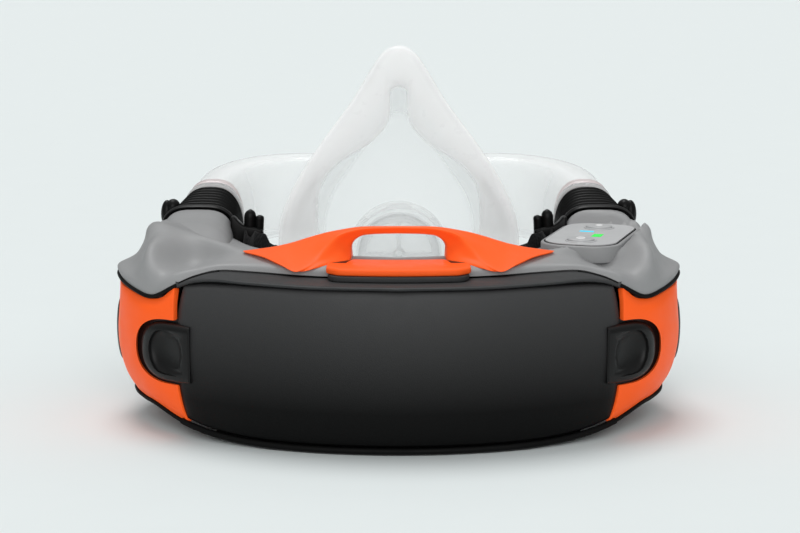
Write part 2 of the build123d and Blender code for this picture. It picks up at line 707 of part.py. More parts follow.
def make_arms():
    """Bellows, collars and cuffs between the unit and the mask."""
    edge = GAP / BELLOWS_LENGTH
    core = bellows_length(edge, 1 - edge, -RIB_DEPTH)
    bore = bellows_length(edge - 0.01, 1 - edge + 0.01, -RIB_DEPTH - BELLOWS_WALL)
    ribs = [bellows_length((index + 0.2) / RIBS, (index + 0.75) / RIBS, 0) for index in range(RIBS)]
    with BuildPart() as bellows:
        add(core)
        for rib in ribs:
            add(rib)
        add(bore, mode=Mode.SUBTRACT)
    keep_pair("bellows", in_arm_frame(bellows.part))

    width, height = COLLAR_SIZE
    start = BELLOWS_LENGTH + GAP
    spigot = (width - 5, height - 5)
    bore = (spigot[0] - 3, spigot[1] - 3)
    with BuildPart() as collar:
        add(tube(COLLAR_X, start, COLLAR_LENGTH, COLLAR_SIZE, bore, 9))
        add(tube(COLLAR_X, start + COLLAR_LENGTH - 1, CUFF_LENGTH, spigot, bore, 7))
    keep_pair("collar", in_arm_frame(collar.part))

    start += COLLAR_LENGTH + GAP
    cuff_size = (width - 1.6, height - 0.8)
    cuff = tube(COLLAR_X, start, CUFF_LENGTH, cuff_size, (spigot[0] + 1, spigot[1] + 1), 8.5)
    keep_pair("cuff", in_arm_frame(cuff))
    return start + CUFF_LENGTH + FIT


def mask_outline(points, y, inset=0.0):
    """Closed outline of the mask across Y, drawn from one half and drawn in towards its middle."""
    centre = 48.0
    half = []
    for x, z in points:
        reach = sqrt(x**2 + (z - centre) ** 2)
        half.append((x * (1 - inset / reach), centre + (z - centre) * (1 - inset / reach)))
    loop = [(-x, z) for x, z in half] + [(x, z) for x, z in reversed(half[1:-1])]
    with BuildSketch(across_y(y)) as outline:
        with BuildLine():
            Spline(*loop, periodic=True)
        make_face()
    return outline.sketch


def mask_loft(near, far, inset=0.0):
    """Solid between two outlines of the mask."""
    sections = [mask_outline(near[0], near[1], inset).face(), mask_outline(far[0], far[1], inset).face()]
    with BuildPart() as made:
        loft(sections)
    return made.part


def face_cylinder(grow=0.0):
    """The face that the seal rests on."""
    with BuildPart() as made:
        with Locations((0, SEAL_Y[1] - FACE_RADIUS, -20)):
            Cylinder(FACE_RADIUS + grow, 200, align=(Align.CENTER, Align.CENTER, Align.MIN))
    return made.part


def duct_path(start):
    """Centre line of the right duct: straight out of the cuff, then curving in to the mask."""
    x = COLLAR_X
    turn = radians(DUCT_TURN)
    middle = radians(DUCT_TURN / 2)
    bend = start + DUCT_STRAIGHT
    centre = x - DUCT_BEND
    with BuildLine() as path:
        Line((x, start), (x, bend))
        ThreePointArc(
            (x, bend),
            (centre + DUCT_BEND * cos(middle), bend + DUCT_BEND * sin(middle)),
            (centre + DUCT_BEND * cos(turn), bend + DUCT_BEND * sin(turn)),
        )
    return path.wire()


def duct_solid(start, shrink, corner):
    """The right duct as a solid, in the frame of the arms."""
    path = duct_path(start)
    with BuildPart() as made:
        with BuildSketch(Plane(origin=(COLLAR_X, start, 0), x_dir=(1, 0, 0), z_dir=(0, 1, 0))):
            RectangleRounded(DUCT_SIZE[0] - shrink, DUCT_SIZE[1] - shrink, corner)
        sweep(path=path)
    return in_arm_frame(made.part)


def make_mask(duct_start):
    """Clear ducts, mask shell, face seal and exhalation valve."""
    duct = duct_solid(duct_start, 0, 9)
    bore = duct_solid(duct_start, 2 * DUCT_WALL, 7.4)
    ports = both_sides(duct_solid(duct_start, -2 * FIT, 9.1))
    with BuildPart() as right_duct:
        add(duct)
        add(bore, mode=Mode.SUBTRACT)
    keep_pair("duct", right_duct.part)

    outer = mask_loft((JOINT_OUTLINE, SHELL_Y[0]), (FRONT_OUTLINE, SHELL_Y[1]))
    inner = mask_loft((JOINT_OUTLINE, SHELL_Y[0] - 0.01), (FRONT_OUTLINE, SHELL_Y[1] - WALL), WALL)
    with BuildPart() as shell:
        add(outer)
        add(inner, mode=Mode.SUBTRACT)
        for port in ports:
            add(port, mode=Mode.SUBTRACT)
        add(turned_on_y((0, 16.5), (SHELL_Y[1] - 5, SHELL_Y[1] + 1), VALVE_Z), mode=Mode.SUBTRACT)
    keep("mask_shell", shell.part)

    low, high = SEAL_Y[0] - 10, SEAL_Y[1] - 1
    skirt = extrude(mask_outline(LIP_OUTLINE, low), amount=high - low)
    skirt = skirt + mask_loft((LIP_OUTLINE, high), (JOINT_OUTLINE, SEAL_Y[2]))
    hollow = extrude(mask_outline(LIP_OUTLINE, low, SEAL_WALL), amount=high - low)
    hollow = hollow + mask_loft((LIP_OUTLINE, high), (JOINT_OUTLINE, SEAL_Y[2] + 0.01), SEAL_WALL)
    with BuildPart() as seal:
        add(skirt)
        add(hollow - face_cylinder(SEAL_WALL), mode=Mode.SUBTRACT)
        add(face_cylinder(), mode=Mode.SUBTRACT)
        add(extrude(mask_outline(OPENING, 30), amount=60), mode=Mode.SUBTRACT)
    keep("face_seal", seal.part)

    front = SHELL_Y[1] + FIT
    with BuildPart() as seat:
        add(turned_on_y((15.0, 19.5), (front, front + 1.6), VALVE_Z))
        with Locations((0, front + 0.8, VALVE_Z)):
            Box(32, 1.6, 2)
            Box(2, 1.6, 32)
        add(turned_on_y((0, 3.0), (front, front + 1.6), VALVE_Z))
    keep("valve_seat", seat.part)
    flap = front + 1.6 + GAP
    keep("valve_flap", turned_on_y((1.5 + RUNNING, 18.5), (flap, flap + 0.8), VALVE_Z))
    with BuildPart() as pin:
        add(turned_on_y((0, 1.5), (front + 1.6 + 0.01, flap + 0.8 + VALVE_LIFT + 1.2), VALVE_Z))
        add(turned_on_y((0, 2.6), (flap + 0.8 + VALVE_LIFT + 0.4, flap + 0.8 + VALVE_LIFT + 1.2), VALVE_Z))
    keep("valve_pin", pin.part)
    with BuildPart() as cover:
        add(turned_on_y((0, VALVE_RADIUS), (front, VALVE_FRONT), VALVE_Z))
        add(turned_on_y((0, VALVE_RADIUS - 2), (front - 1, VALVE_FRONT - 2), VALVE_Z), mode=Mode.SUBTRACT)
        for angle in range(0, 360, 60):
            with Locations(Location((0, VALVE_FRONT - 4, VALVE_Z), (0, angle, 0))):
                with Locations((0, 0, VALVE_RADIUS)):
                    Box(12, 4, 8, mode=Mode.SUBTRACT)
    keep("valve_cover", cover.part)


make_shells()
make_trim()
make_arm_ducts()
make_filter()
make_blower()
make_electronics()
make_keypad()
make_mask(make_arms())

os.makedirs("parts", exist_ok=True)
for piece_name, piece in pieces.items():
    export_step(piece, f"parts/{piece_name}.step")
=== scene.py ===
"""Looks of the neck-worn powered air respirator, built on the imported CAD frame.

Sizes are in millimetres until they become mesh points. +X is the wearer's right, +Y runs from the
filter cover towards the mask, and +Z is up, as in the CAD.
"""

from math import cos, hypot, pi, radians, sin, sqrt

import bmesh
import bpy
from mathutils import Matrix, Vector


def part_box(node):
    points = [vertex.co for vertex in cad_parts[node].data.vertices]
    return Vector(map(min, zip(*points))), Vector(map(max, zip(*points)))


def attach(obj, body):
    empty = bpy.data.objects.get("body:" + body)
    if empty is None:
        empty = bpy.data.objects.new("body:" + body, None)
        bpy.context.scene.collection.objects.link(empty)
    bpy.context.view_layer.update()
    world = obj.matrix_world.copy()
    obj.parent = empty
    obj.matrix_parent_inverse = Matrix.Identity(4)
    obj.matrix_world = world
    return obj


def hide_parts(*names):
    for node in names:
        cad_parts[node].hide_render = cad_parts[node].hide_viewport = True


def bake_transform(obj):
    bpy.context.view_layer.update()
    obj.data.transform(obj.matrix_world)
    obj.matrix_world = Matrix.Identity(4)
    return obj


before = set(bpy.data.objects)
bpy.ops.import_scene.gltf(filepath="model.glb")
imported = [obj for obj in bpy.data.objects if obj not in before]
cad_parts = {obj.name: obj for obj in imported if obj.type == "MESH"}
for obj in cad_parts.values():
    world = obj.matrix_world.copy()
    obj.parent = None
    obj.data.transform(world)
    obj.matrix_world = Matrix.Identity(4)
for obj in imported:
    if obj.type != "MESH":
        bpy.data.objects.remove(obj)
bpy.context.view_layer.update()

MM = 0.001
RIGHT, LEFT = 1, -1
SIDES = (("right", RIGHT), ("left", LEFT))

# Sizes shared with the CAD
BACK_RADIUS = 129.0
BACK_Y = 5.0
NECK_Y = -7.0
ARM_END = Vector((77.5, -12.0, 49.3))
ARM_TILT = radians(7.0)
COLLAR_X = 75.5
BELLOWS_LENGTH = 34.0
COLLAR_LENGTH = 6.0
CUFF_LENGTH = 8.0
KEYPAD_CENTRE = Vector((70.8, -48.0))
KEYPAD_TURN = radians(-17.9)
KEYPAD_SIZE = (26.0, 50.0)
KEYPAD_TOP = 64.1
VALVE_Z = 29.0
SHELL_Y = (72.3, 112.0)
SEAL_JOINT_Y = 72.0
FLANGE_MIDDLE = 48.0
LATCH_Z = 30.3
LATCH_MIDDLE = 80.7
LATCH_INNER = 71.4
LATCH_HALF = 10.3
HOOK_Y = -16.5


# ---------------------------------------------------------------- mesh helpers


def clamped(value):
    """Value kept between nought and one."""
    return min(1.0, max(0.0, value))


def bent(value, power):
    """Power of a value's size that keeps its sign."""
    return abs(value) ** power * (1 if value >= 0 else -1)


def angles(count):
    """Equal steps round one full turn."""
    return [2 * pi * k / count for k in range(count)]


def catmull(a, b, c, d, t):
    """Point between b and c on the curve through a, b, c and d."""
    return 0.5 * (2 * b + (c - a) * t + (2 * a - 5 * b + 4 * c - d) * t**2 + (3 * b - a - 3 * c + d) * t**3)


def smooth_line(points, steps, closed=False):
    """Points along a smooth curve through the given ones."""
    points = [Vector(p) for p in points]
    count = len(points)
    line = []
    for index in range(count if closed else count - 1):
        if closed:
            a, b, c, d = (points[(index + k) % count] for k in (-1, 0, 1, 2))
        else:
            b, c = points[index], points[index + 1]
            a = points[index - 1] if index else 2 * b - c
            d = points[index + 2] if index + 2 < count else 2 * c - b
        line += [catmull(a, b, c, d, step / steps) for step in range(steps)]
    if not closed:
        line.append(points[-1])
    return line


def net(stations, along, across, closed_along=False, closed_across=False):
    """Dense rows of points through a net of given ones: one station per row of the net."""
    rows = [smooth_line(station, across, closed_across) for station in stations]
    columns = [smooth_line(column, along, closed_along) for column in zip(*rows)]
    return [list(row) for row in zip(*columns)]


def mesh_object(name, points, faces, smooth=True):
    """New object from points in millimetres."""
    mesh = bpy.data.meshes.new(name)
    mesh.from_pydata([tuple(Vector(p) * MM) for p in points], [], faces)
    mesh.validate()
    mesh.update()
    if smooth:
        mesh.shade_smooth()
        mesh.set_sharp_from_angle(angle=radians(42))
    piece = bpy.data.objects.new(name, mesh)
    bpy.context.scene.collection.objects.link(piece)
    return piece


def grid_faces(rows, columns, closed_rows=False, closed_columns=False):
    """Quads over a grid of points."""
    faces = []
    for i in range(rows if closed_rows else rows - 1):
        for j in range(columns if closed_columns else columns - 1):
            a = i * columns + j
            b = i * columns + (j + 1) % columns
            c = ((i + 1) % rows) * columns + (j + 1) % columns
            d = ((i + 1) % rows) * columns + j
            faces.append((a, b, c, d))
    return faces


def grid_object(name, rows, closed_rows=False, closed_columns=False, caps=False):
    """Object from rows of points, with its ends closed on request."""
    points = [p for row in rows for p in row]
    columns = len(rows[0])
    faces = grid_faces(len(rows), columns, closed_rows, closed_columns)
    if caps:
        faces.append(tuple(reversed(range(columns))))
        faces.append(tuple(range(len(points) - columns, len(points))))
    piece = mesh_object(name, points, faces)
    if caps or (closed_rows and closed_columns):
        face_outwards(piece)
    return piece


def face_outwards(piece):
    """Turns the faces of a closed piece outwards."""
    shape = bmesh.new()
    shape.from_mesh(piece.data)
    bmesh.ops.recalc_face_normals(shape, faces=shape.faces)
    shape.to_mesh(piece.data)
    shape.free()
    return piece


def face_towards(piece, direction):
    """Turns the faces of an open skin so that its furthest one looks in a direction."""
    direction = Vector(direction)
    shape = bmesh.new()
    shape.from_mesh(piece.data)
    bmesh.ops.recalc_face_normals(shape, faces=shape.faces)
    furthest = max(shape.faces, key=lambda face: face.calc_center_median().dot(direction))
    if furthest.normal.dot(direction) < 0:
        bmesh.ops.reverse_faces(shape, faces=shape.faces)
    shape.to_mesh(piece.data)
    shape.free()
    return piece


def apply_modifiers(piece):
    """Turns a piece's modifiers into its mesh."""
    graph = bpy.context.evaluated_depsgraph_get()
    mesh = bpy.data.meshes.new_from_object(piece.evaluated_get(graph))
    piece.modifiers.clear()
    piece.data = mesh
    mesh.shade_smooth()
    mesh.set_sharp_from_angle(angle=radians(42))
    return piece


def thicken(piece, thickness, outside, inward=True, rim=0.0, even=True):
    """Gives a sheet its wall, inwards from the side that looks outside, with a small round rim."""
    face_towards(piece, outside)
    wall = piece.modifiers.new("wall", "SOLIDIFY")
    wall.thickness = thickness * MM
    wall.offset = -1.0 if inward else 0.0
    wall.use_even_offset = even
    return round_edges(piece, rim, angle=50) if rim else apply_modifiers(piece)


def carve(piece, cutter):
    """Cuts one piece out of another and removes the cutter."""
    cut = piece.modifiers.new("cut", "BOOLEAN")
    cut.operation = "DIFFERENCE"
    cut.solver = "EXACT"
    cut.object = cutter
    apply_modifiers(piece)
    bpy.data.objects.remove(cutter)
    return piece


def round_edges(piece, width, segments=3, angle=35):
    """Rounds the sharp edges of a piece."""
    edge = piece.modifiers.new("round", "BEVEL")
    edge.width = width * MM
    edge.segments = segments
    edge.limit_method = "ANGLE"
    edge.angle_limit = radians(angle)
    return apply_modifiers(piece)


def mirrored(points, side):
    """Points of a right-hand piece moved to the given side."""
    return [Vector((p[0] * side, p[1], p[2])) for p in points]


def mirrored_rows(rows, side):
    """Rows of a right-hand piece moved to the given side."""
    return [mirrored(row, side) for row in rows]


def tube_along(name, line, radius, sides=10, closed=False):
    """Round bead along a line of points."""
    rows = []
    count = len(line)
    for index, point in enumerate(line):
        ahead = line[(index + 1) % count if closed else min(index + 1, count - 1)]
        behind = line[index - 1 if closed or index else 0]
        forward = (Vector(ahead) - Vector(behind)).normalized()
        across = forward.cross(Vector((0, 0, 1)))
        across = across.normalized() if across.length > 0.01 else Vector((1, 0, 0))
        up = across.cross(forward).normalized()
        rows.append([Vector(point) + radius * (cos(a) * across + sin(a) * up) for a in angles(sides)])
    return grid_object(name, rows, closed_rows=closed, closed_columns=True, caps=not closed)


def rounded_ring(width, height, power=4.0, count=48):
    """Points of a rounded rectangle about the origin, as pairs."""
    bend = 2 / power
    return [(width / 2 * bent(cos(a), bend), height / 2 * bent(sin(a), bend)) for a in angles(count)]


def finish_piece(piece, body, material, replaced=()):
    """Gives a piece its material and its body, and hides the CAD nodes it stands for."""
    piece.data.materials.clear()
    piece.data.materials.append(material)
    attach(piece, body)
    if replaced:
        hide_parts(*replaced)
    return piece


# ---------------------------------------------------------------- materials


def noise(nodes, links, scale, detail=3.0):
    """Noise in the object's own coordinates."""
    place = nodes.new("ShaderNodeTexCoord")
    texture = nodes.new("ShaderNodeTexNoise")
    texture.inputs["Scale"].default_value = scale
    texture.inputs["Detail"].default_value = detail
    texture.inputs["Roughness"].default_value = 0.55
    links.new(place.outputs["Object"], texture.inputs["Vector"])
    return texture.outputs["Fac"]


def ramp(nodes, links, source, low, high, start=0.3, end=0.7):
    """Blend of two colours by a source value."""
    node = nodes.new("ShaderNodeValToRGB")
    for element, place, color in zip(node.color_ramp.elements, (start, end), (low, high)):
        element.position = place
        element.color = (*color, 1)
    links.new(source, node.inputs["Fac"])
    return node.outputs["Color"]


def ranged(nodes, links, source, low, high, start=0.3, end=0.7):
    """Source value spread between two numbers."""
    node = nodes.new("ShaderNodeMapRange")
    values = {"From Min": start, "From Max": end, "To Min": low, "To Max": high}
    for socket, value in values.items():
        node.inputs[socket].default_value = value
    links.new(source, node.inputs["Value"])
    return node.outputs["Result"]


def shaded(color, factor):
    """Colour made lighter or darker."""
    return tuple(min(1.0, c * factor) for c in color)


def tinted(name, color, texture, darker, lighter, glow=0.0):
    """New material whose colour wanders between two shades with a noise, and may glow in that colour."""
    material = bpy.data.materials.new(name)
    material.use_nodes = True
    nodes, links = material.node_tree.nodes, material.node_tree.links
    shader = nodes["Principled BSDF"]
    pattern = noise(nodes, links, *texture)
    tone = ramp(nodes, links, pattern, shaded(color, darker), shaded(color, lighter))
    links.new(tone, shader.inputs["Base Color"])
    # emission in the base colour: real light for lit lenses such as the LEDs, painted light for parts that
    # are no lamp
    if glow:
        links.new(tone, shader.inputs["Emission Color"])
        shader.inputs["Emission Strength"].default_value = glow
    return material, nodes, links, shader, pattern


def roughen(nodes, links, shader, source, low, high):
    """Uneven gloss."""
    links.new(ranged(nodes, links, source, low, high), shader.inputs["Roughness"])


def emboss(nodes, links, shader, source, strength, depth):
    """Fine relief from a pattern."""
    relief = nodes.new("ShaderNodeBump")
    relief.inputs["Strength"].default_value = strength
    relief.inputs["Distance"].default_value = depth
    links.new(source, relief.inputs["Height"])
    links.new(relief.outputs["Normal"], shader.inputs["Normal"])


def moulded(name, color, rough=0.45, grain=2600.0, bump=0.12, vary=0.05, specular=0.5, glow=0.0):
    """Moulded plastic or rubber: fine grain, slight cloudiness and uneven gloss, and a painted glow in its
    own colour when one is asked for.
    """
    material, nodes, links, shader, _ = tinted(name, color, (38.0, 4.0), 1 - vary, 1 + vary, glow)
    roughen(nodes, links, shader, noise(nodes, links, 160.0), rough - 0.06, rough + 0.06)
    emboss(nodes, links, shader, noise(nodes, links, grain, 2.0), bump, 0.0002)
    shader.inputs["Specular IOR Level"].default_value = specular
    return material


def paint_light_from_above(material, low, high, top):
    """Paints light from above into a material's colour: painted shade near the floor, growing lighter up to a
    height in millimetres.
    """
    nodes, links = material.node_tree.nodes, material.node_tree.links
    place = nodes.new("ShaderNodeTexCoord")
    split = nodes.new("ShaderNodeSeparateXYZ")
    links.new(place.outputs["Object"], split.inputs["Vector"])
    scale = nodes.new("ShaderNodeMath")
    scale.operation = "DIVIDE"
    scale.inputs[1].default_value = top * MM
    links.new(split.outputs["Z"], scale.inputs[0])
    tone = ramp(nodes, links, scale.outputs["Value"], low, high, 0.25, 1.0)
    links.new(tone, nodes["Principled BSDF"].inputs["Base Color"])


def clear_plastic(name, color, facing, edge, rough=0.12, glow=0.0):
    """Clear plastic that gets denser where it is seen edge on, with a painted glow in its own colour when one
    is asked for.
    """
    material, nodes, links, shader, _ = tinted(name, color, (30.0, 3.0), 0.97, 1.03, glow)
    roughen(nodes, links, shader, noise(nodes, links, 220.0, 2.0), rough * 0.7, rough * 1.3)
    weight = nodes.new("ShaderNodeLayerWeight")
    weight.inputs["Blend"].default_value = 0.35
    density = ranged(nodes, links, weight.outputs["Facing"], facing, edge, 0.0, 1.0)
    links.new(density, shader.inputs["Alpha"])
    return material


def glowing(name, color, strength):
    """Lit lens."""
    material, _, _, shader, _ = tinted(name, color, (900.0, 2.0), 0.9, 1.1, strength)
    shader.inputs["Roughness"].default_value = 0.25
    return material


def metal(name, color, rough=0.3):
    """Machined metal with fine marks."""
    material, nodes, links, shader, marks = tinted(name, color, (1400.0, 3.0), 0.88, 1.08)
    roughen(nodes, links, shader, marks, rough - 0.08, rough + 0.1)
    shader.inputs["Metallic"].default_value = 1.0
    return material


def knitted(name, color):
    """Close knitted cover of the neck pad: small cells with a soft sheen."""
    material = bpy.data.materials.new(name)
    material.use_nodes = True
    nodes, links = material.node_tree.nodes, material.node_tree.links
    shader = nodes["Principled BSDF"]
    place = nodes.new("ShaderNodeTexCoord")
    cells = nodes.new("ShaderNodeTexVoronoi")
    cells.inputs["Scale"].default_value = 900.0
    links.new(place.outputs["Object"], cells.inputs["Vector"])
    distance = cells.outputs["Distance"]
    tone = ramp(nodes, links, distance, shaded(color, 0.55), shaded(color, 1.5), 0.1, 0.8)
    links.new(tone, shader.inputs["Base Color"])
    emboss(nodes, links, shader, distance, 0.5, 0.0004)
    shader.inputs["Roughness"].default_value = 0.85
    shader.inputs["Sheen Weight"].default_value = 0.04
    shader.inputs["Specular IOR Level"].default_value = 0.15
    return material


GREY = moulded("shell_grey", (0.300, 0.302, 0.305), rough=0.5, grain=2400, bump=0.3, specular=0.35)
GREY_LOW = moulded("lower_grey", (0.045, 0.046, 0.047), rough=0.55, grain=2400, bump=0.22, specular=0.3)
# painted light: the orange glows faintly in its own colour to brighten it, though it is no lamp
ORANGE = moulded(
    "orange", (0.96, 0.115, 0.016), rough=0.42, grain=2000, bump=0.05, vary=0.02, specular=0.12, glow=0.12
)
BLACK_COVER = moulded("cover_black", (0.007, 0.007, 0.0072), rough=0.42, grain=2200, bump=0.3, specular=0.12)
# painted light and shade: the cover's black is lit towards its top and shaded towards the floor
paint_light_from_above(BLACK_COVER, (0.0015, 0.0015, 0.0015), (0.060, 0.060, 0.061), 58.0)
BLACK = moulded("black_plastic", (0.007, 0.007, 0.007), rough=0.38, grain=2200, bump=0.12, specular=0.22)
CHARCOAL = moulded("charcoal", (0.040, 0.041, 0.042), rough=0.55, grain=2200, bump=0.15, specular=0.2)
RUBBER = moulded(
    "soft_black", (0.003, 0.003, 0.003), rough=0.36, grain=1500, bump=0.1, vary=0.1, specular=0.16
)
GASKET = moulded("gasket_rubber", (0.003, 0.003, 0.003), rough=0.6, grain=1800, bump=0.1, specular=0.12)
KEYPAD_GREY = moulded("keypad_grey", (0.50, 0.505, 0.51), rough=0.45, grain=2600, bump=0.1)
BUTTON_GREY = moulded("button_grey", (0.46, 0.465, 0.47), rough=0.4, grain=2600, bump=0.08)
ICON_WHITE = moulded("icon_white", (0.85, 0.85, 0.85), rough=0.5, bump=0.02)
COLLAR_GREY = clear_plastic("collar_grey", (0.62, 0.62, 0.62), 0.62, 0.9, 0.25)
CUFF = clear_plastic("cuff_clear", (0.86, 0.74, 0.74), 0.40, 0.8, 0.2)
# painted light: the clear shell and the silicone seal glow faintly in their own colour, standing in for light
# passing through them
CLEAR = clear_plastic("mask_clear", (0.96, 0.97, 0.97), 0.10, 0.62, glow=0.06)
SILICONE = clear_plastic("silicone", (0.95, 0.95, 0.95), 0.36, 0.78, 0.35, glow=0.10)
VALVE = clear_plastic("valve_white", (0.95, 0.96, 0.96), 0.16, 0.45, 0.3)
FLAP = clear_plastic("valve_rubber", (0.93, 0.94, 0.94), 0.30, 0.60, 0.4)
PAD = knitted("neck_pad_cover", (0.004, 0.004, 0.0045))
PAPER = moulded("filter_paper", (0.80, 0.81, 0.79), rough=0.9, grain=1200, bump=0.4, specular=0.2)
STEEL = metal("screw_steel", (0.62, 0.62, 0.63))
ALUMINIUM = metal("motor_metal", (0.70, 0.71, 0.72), 0.35)
WRAP = moulded("battery_wrap", (0.03, 0.06, 0.12), rough=0.3, bump=0.05)
BOARD = moulded("board_green", (0.015, 0.12, 0.05), rough=0.3, bump=0.1)
BLUE = glowing("led_blue", (0.01, 0.60, 0.85), 0.6)
GREEN = glowing("led_green", (0.005, 0.55, 0.04), 0.9)
RED = glowing("led_red", (0.55, 0.05, 0.09), 0.25)


# ---------------------------------------------------------------- unit behind the neck

# Edge between the grey shell and what lies below it, from the middle of the back to the arm's end
SHELL_EDGE = [
    (0, -105.0, 57.8), (28, -101.4, 57.9), (50, -94.5, 58.3), (62, -93.0, 58.6), (70, -93.6, 56.9),
    (77, -94.6, 54.0), (85.5, -90.0, 49.4), (92.5, -83.2, 50.4), (98.8, -71, 52.0), (101.8, -56.5, 52.6),
    (99.8, -41, 50.6), (93.4, -25, 49.6), (92.0, -12.6, 49.3),
]
# Rows over the shell from that edge: just above it, the scoop, the slope, the ridge, and down to the neck
SHELL_ROWS = [
    [(0, -104.2, 59.8), (27.6, -100.6, 59.9), (49.5, -93.2, 60.2), (61.8, -91.6, 60.2),
     (70.2, -91.4, 58.8), (77.3, -92.0, 57.2), (86.3, -89.0, 52.8), (93.2, -81.6, 53.2),
     (99.4, -69.8, 54.2), (102.1, -55.6, 54.6), (99.9, -40, 52.8), (93.4, -24, 52.6),
     (92.0, -12.6, 52.3)],
    [(0, -100, 61.0), (26.5, -97, 61.4), (47.5, -89.8, 61.2), (60.5, -86.6, 60.4), (69.0, -84.6, 58.2),
     (76.0, -84.6, 56.2), (87.0, -86.2, 58.6), (92.2, -77.4, 57.4), (95.8, -66.5, 57.2),
     (96.6, -54.6, 57.2), (96.2, -38, 56.4), (93.0, -23, 56.4), (91.9, -12.6, 56)],
    [(0, -92, 61.2), (24.5, -89, 61.7), (44.5, -84.5, 62.4), (58, -81.0, 61.6), (67.0, -74.4, 58.6),
     (74.6, -72.6, 57.8), (86.4, -76.6, 64.6), (90.0, -69.6, 63.4), (92.6, -61, 62.4),
     (92.9, -52.8, 62.0), (93.6, -36, 60.0), (92.6, -22, 60), (91.8, -12.6, 60)],
    [(0, -84, 61.2), (22.5, -82, 61.8), (41, -78, 63.2), (53.6, -78.8, 62.9), (63.0, -71.0, 64.2),
     (70.8, -64.6, 65.6), (79.6, -60.0, 67.4), (85.6, -58.4, 69.2), (90.0, -55.4, 69.0),
     (92.2, -50.4, 66.2), (92.0, -34, 63.8), (91.8, -20, 63.2), (91.6, -12.6, 63.2)],
    [(0, -78, 60.2), (21, -76, 60.9), (38, -72, 62.6), (50.6, -70.0, 61.7), (60.6, -64.0, 62.0),
     (67.8, -57.8, 62.9), (75.8, -52.4, 65.2), (82.4, -48.0, 67.2), (86.8, -44.6, 67.8),
     (89.8, -39.6, 66.2), (90.8, -27, 64.8), (91.2, -18, 64), (91.3, -12.6, 63.8)],
    [(0, -72.5, 58.4), (19, -70, 59.3), (34.5, -63.5, 61.2), (46.5, -58, 59.9), (56.5, -50, 59.6),
     (61.5, -41, 59.4), (66, -30, 60), (73, -28, 63), (80, -26, 65), (86, -25, 65.4), (89.8, -21, 64.8),
     (90.8, -16, 64), (91.0, -12.6, 63.9)],
    [(0, -70.3, 57.0), (18.2, -67.5, 57.8), (33, -60.9, 59.4), (44.5, -51.9, 58.2), (53, -41.4, 57.8),
     (58.5, -30.9, 57.6), (61.8, -19.5, 57), (68, -16, 60), (77, -15, 63), (84.5, -14, 64.6),
     (89, -13.4, 64.4), (90.4, -13, 63.9), (90.8, -12.6, 63.8)],
]


def keypad_local(point):
    """Place of a point in the keypad's own frame."""
    offset = Vector((point[0], point[1])) - KEYPAD_CENTRE
    c, s = cos(-KEYPAD_TURN), sin(-KEYPAD_TURN)
    return offset.x * c - offset.y * s, offset.x * s + offset.y * c


def keypad_point(across, along, z):
    """Place of a point of the keypad's frame in the whole object."""
    c, s = cos(KEYPAD_TURN), sin(KEYPAD_TURN)
    return Vector((KEYPAD_CENTRE.x + across * c - along * s, KEYPAD_CENTRE.y + across * s + along * c, z))


def make_room_for_keypad(point, bed=61.6, margin=0.9, blend=8.0):
    """Presses the right shoulder down to a flat bed under the keypad."""
    across, along = keypad_local(point)
    outside = max(abs(across) - KEYPAD_SIZE[0] / 2 - margin, abs(along) - KEYPAD_SIZE[1] / 2 - margin)
    limit = bed if outside <= 0 else bed + 12 * (outside / blend) ** 1.5
    return Vector((point[0], point[1], min(point[2], limit)))


def make_upper_shell():
    """Grey shell with its horns, and the domes that the arms end in."""
    stations = [list(column) for column in zip(SHELL_EDGE, *SHELL_ROWS)]
    right = net(stations, along=8, across=5)
    rows = [mirrored(row, LEFT) for row in reversed(right[1:])]
    rows += [[make_room_for_keypad(p) for p in row] for row in right]
    shell = thicken(grid_object("upper_shell_skin", rows), 1.8, (0, 0, 1), rim=0.5, even=False)
    finish_piece(shell, "power_unit", GREY, ["upper_shell"])
    for name, side in SIDES:
        dome = make_dome(name, side)
        finish_piece(dome, "power_unit", GREY)


def make_dome(name, side):
    """Arm between the shoulder and the bellows: a rounded tube that grows out of the shell."""
    stops = [
        (-62, 71.0, 45.0, 23.0, 30.0), (-52, 73.0, 44.5, 26.0, 37.0), (-40, 75.4, 46.0, 28.0, 40.0),
        (-28, 76.8, 47.5, 28.6, 39.0), (-19, 77.4, 48.6, 28.6, 38.6), (-12.4, 77.5, 49.2, 28.6, 38.0),
    ]
    rows = []
    for y, x, z, width, height in smooth_stops(stops, 6):
        lean = sin(ARM_TILT) * (y + 62) / 50
        ring = rounded_ring(width, height, 3.4)
        section = [Vector((x + a, y - lean * b, z + b)) for a, b in ring]
        if side == RIGHT:
            section = [make_room_for_keypad(p) for p in section]
        rows.append(mirrored(section, side))
    return grid_object(f"{name}_dome", rows, closed_columns=True, caps=True)


def smooth_stops(stops, steps):
    """Smooth values between given stops of any number of values."""
    result = []
    for index in range(len(stops) - 1):
        b, c = stops[index], stops[index + 1]
        a = stops[index - 1] if index else tuple(2 * p - q for p, q in zip(b, c))
        d = stops[index + 2] if index + 2 < len(stops) else tuple(2 * q - p for p, q in zip(b, c))
        for step in range(steps):
            t = step / steps
            result.append(tuple(catmull(*values, t) for values in zip(a, b, c, d)))
    result.append(stops[-1])
    return result


def make_gasket():
    """Black bead between the grey shell and what lies below it."""
    right = smooth_line([(x, y - 0.2, z - 0.7) for x, y, z in SHELL_EDGE[3:]], 8)
    for name, side in SIDES:
        bead = tube_along(f"{name}_gasket_bead", mirrored(right, side), 0.75)
        finish_piece(bead, "power_unit", GASKET, ["shell_gasket"] if side == RIGHT else ())


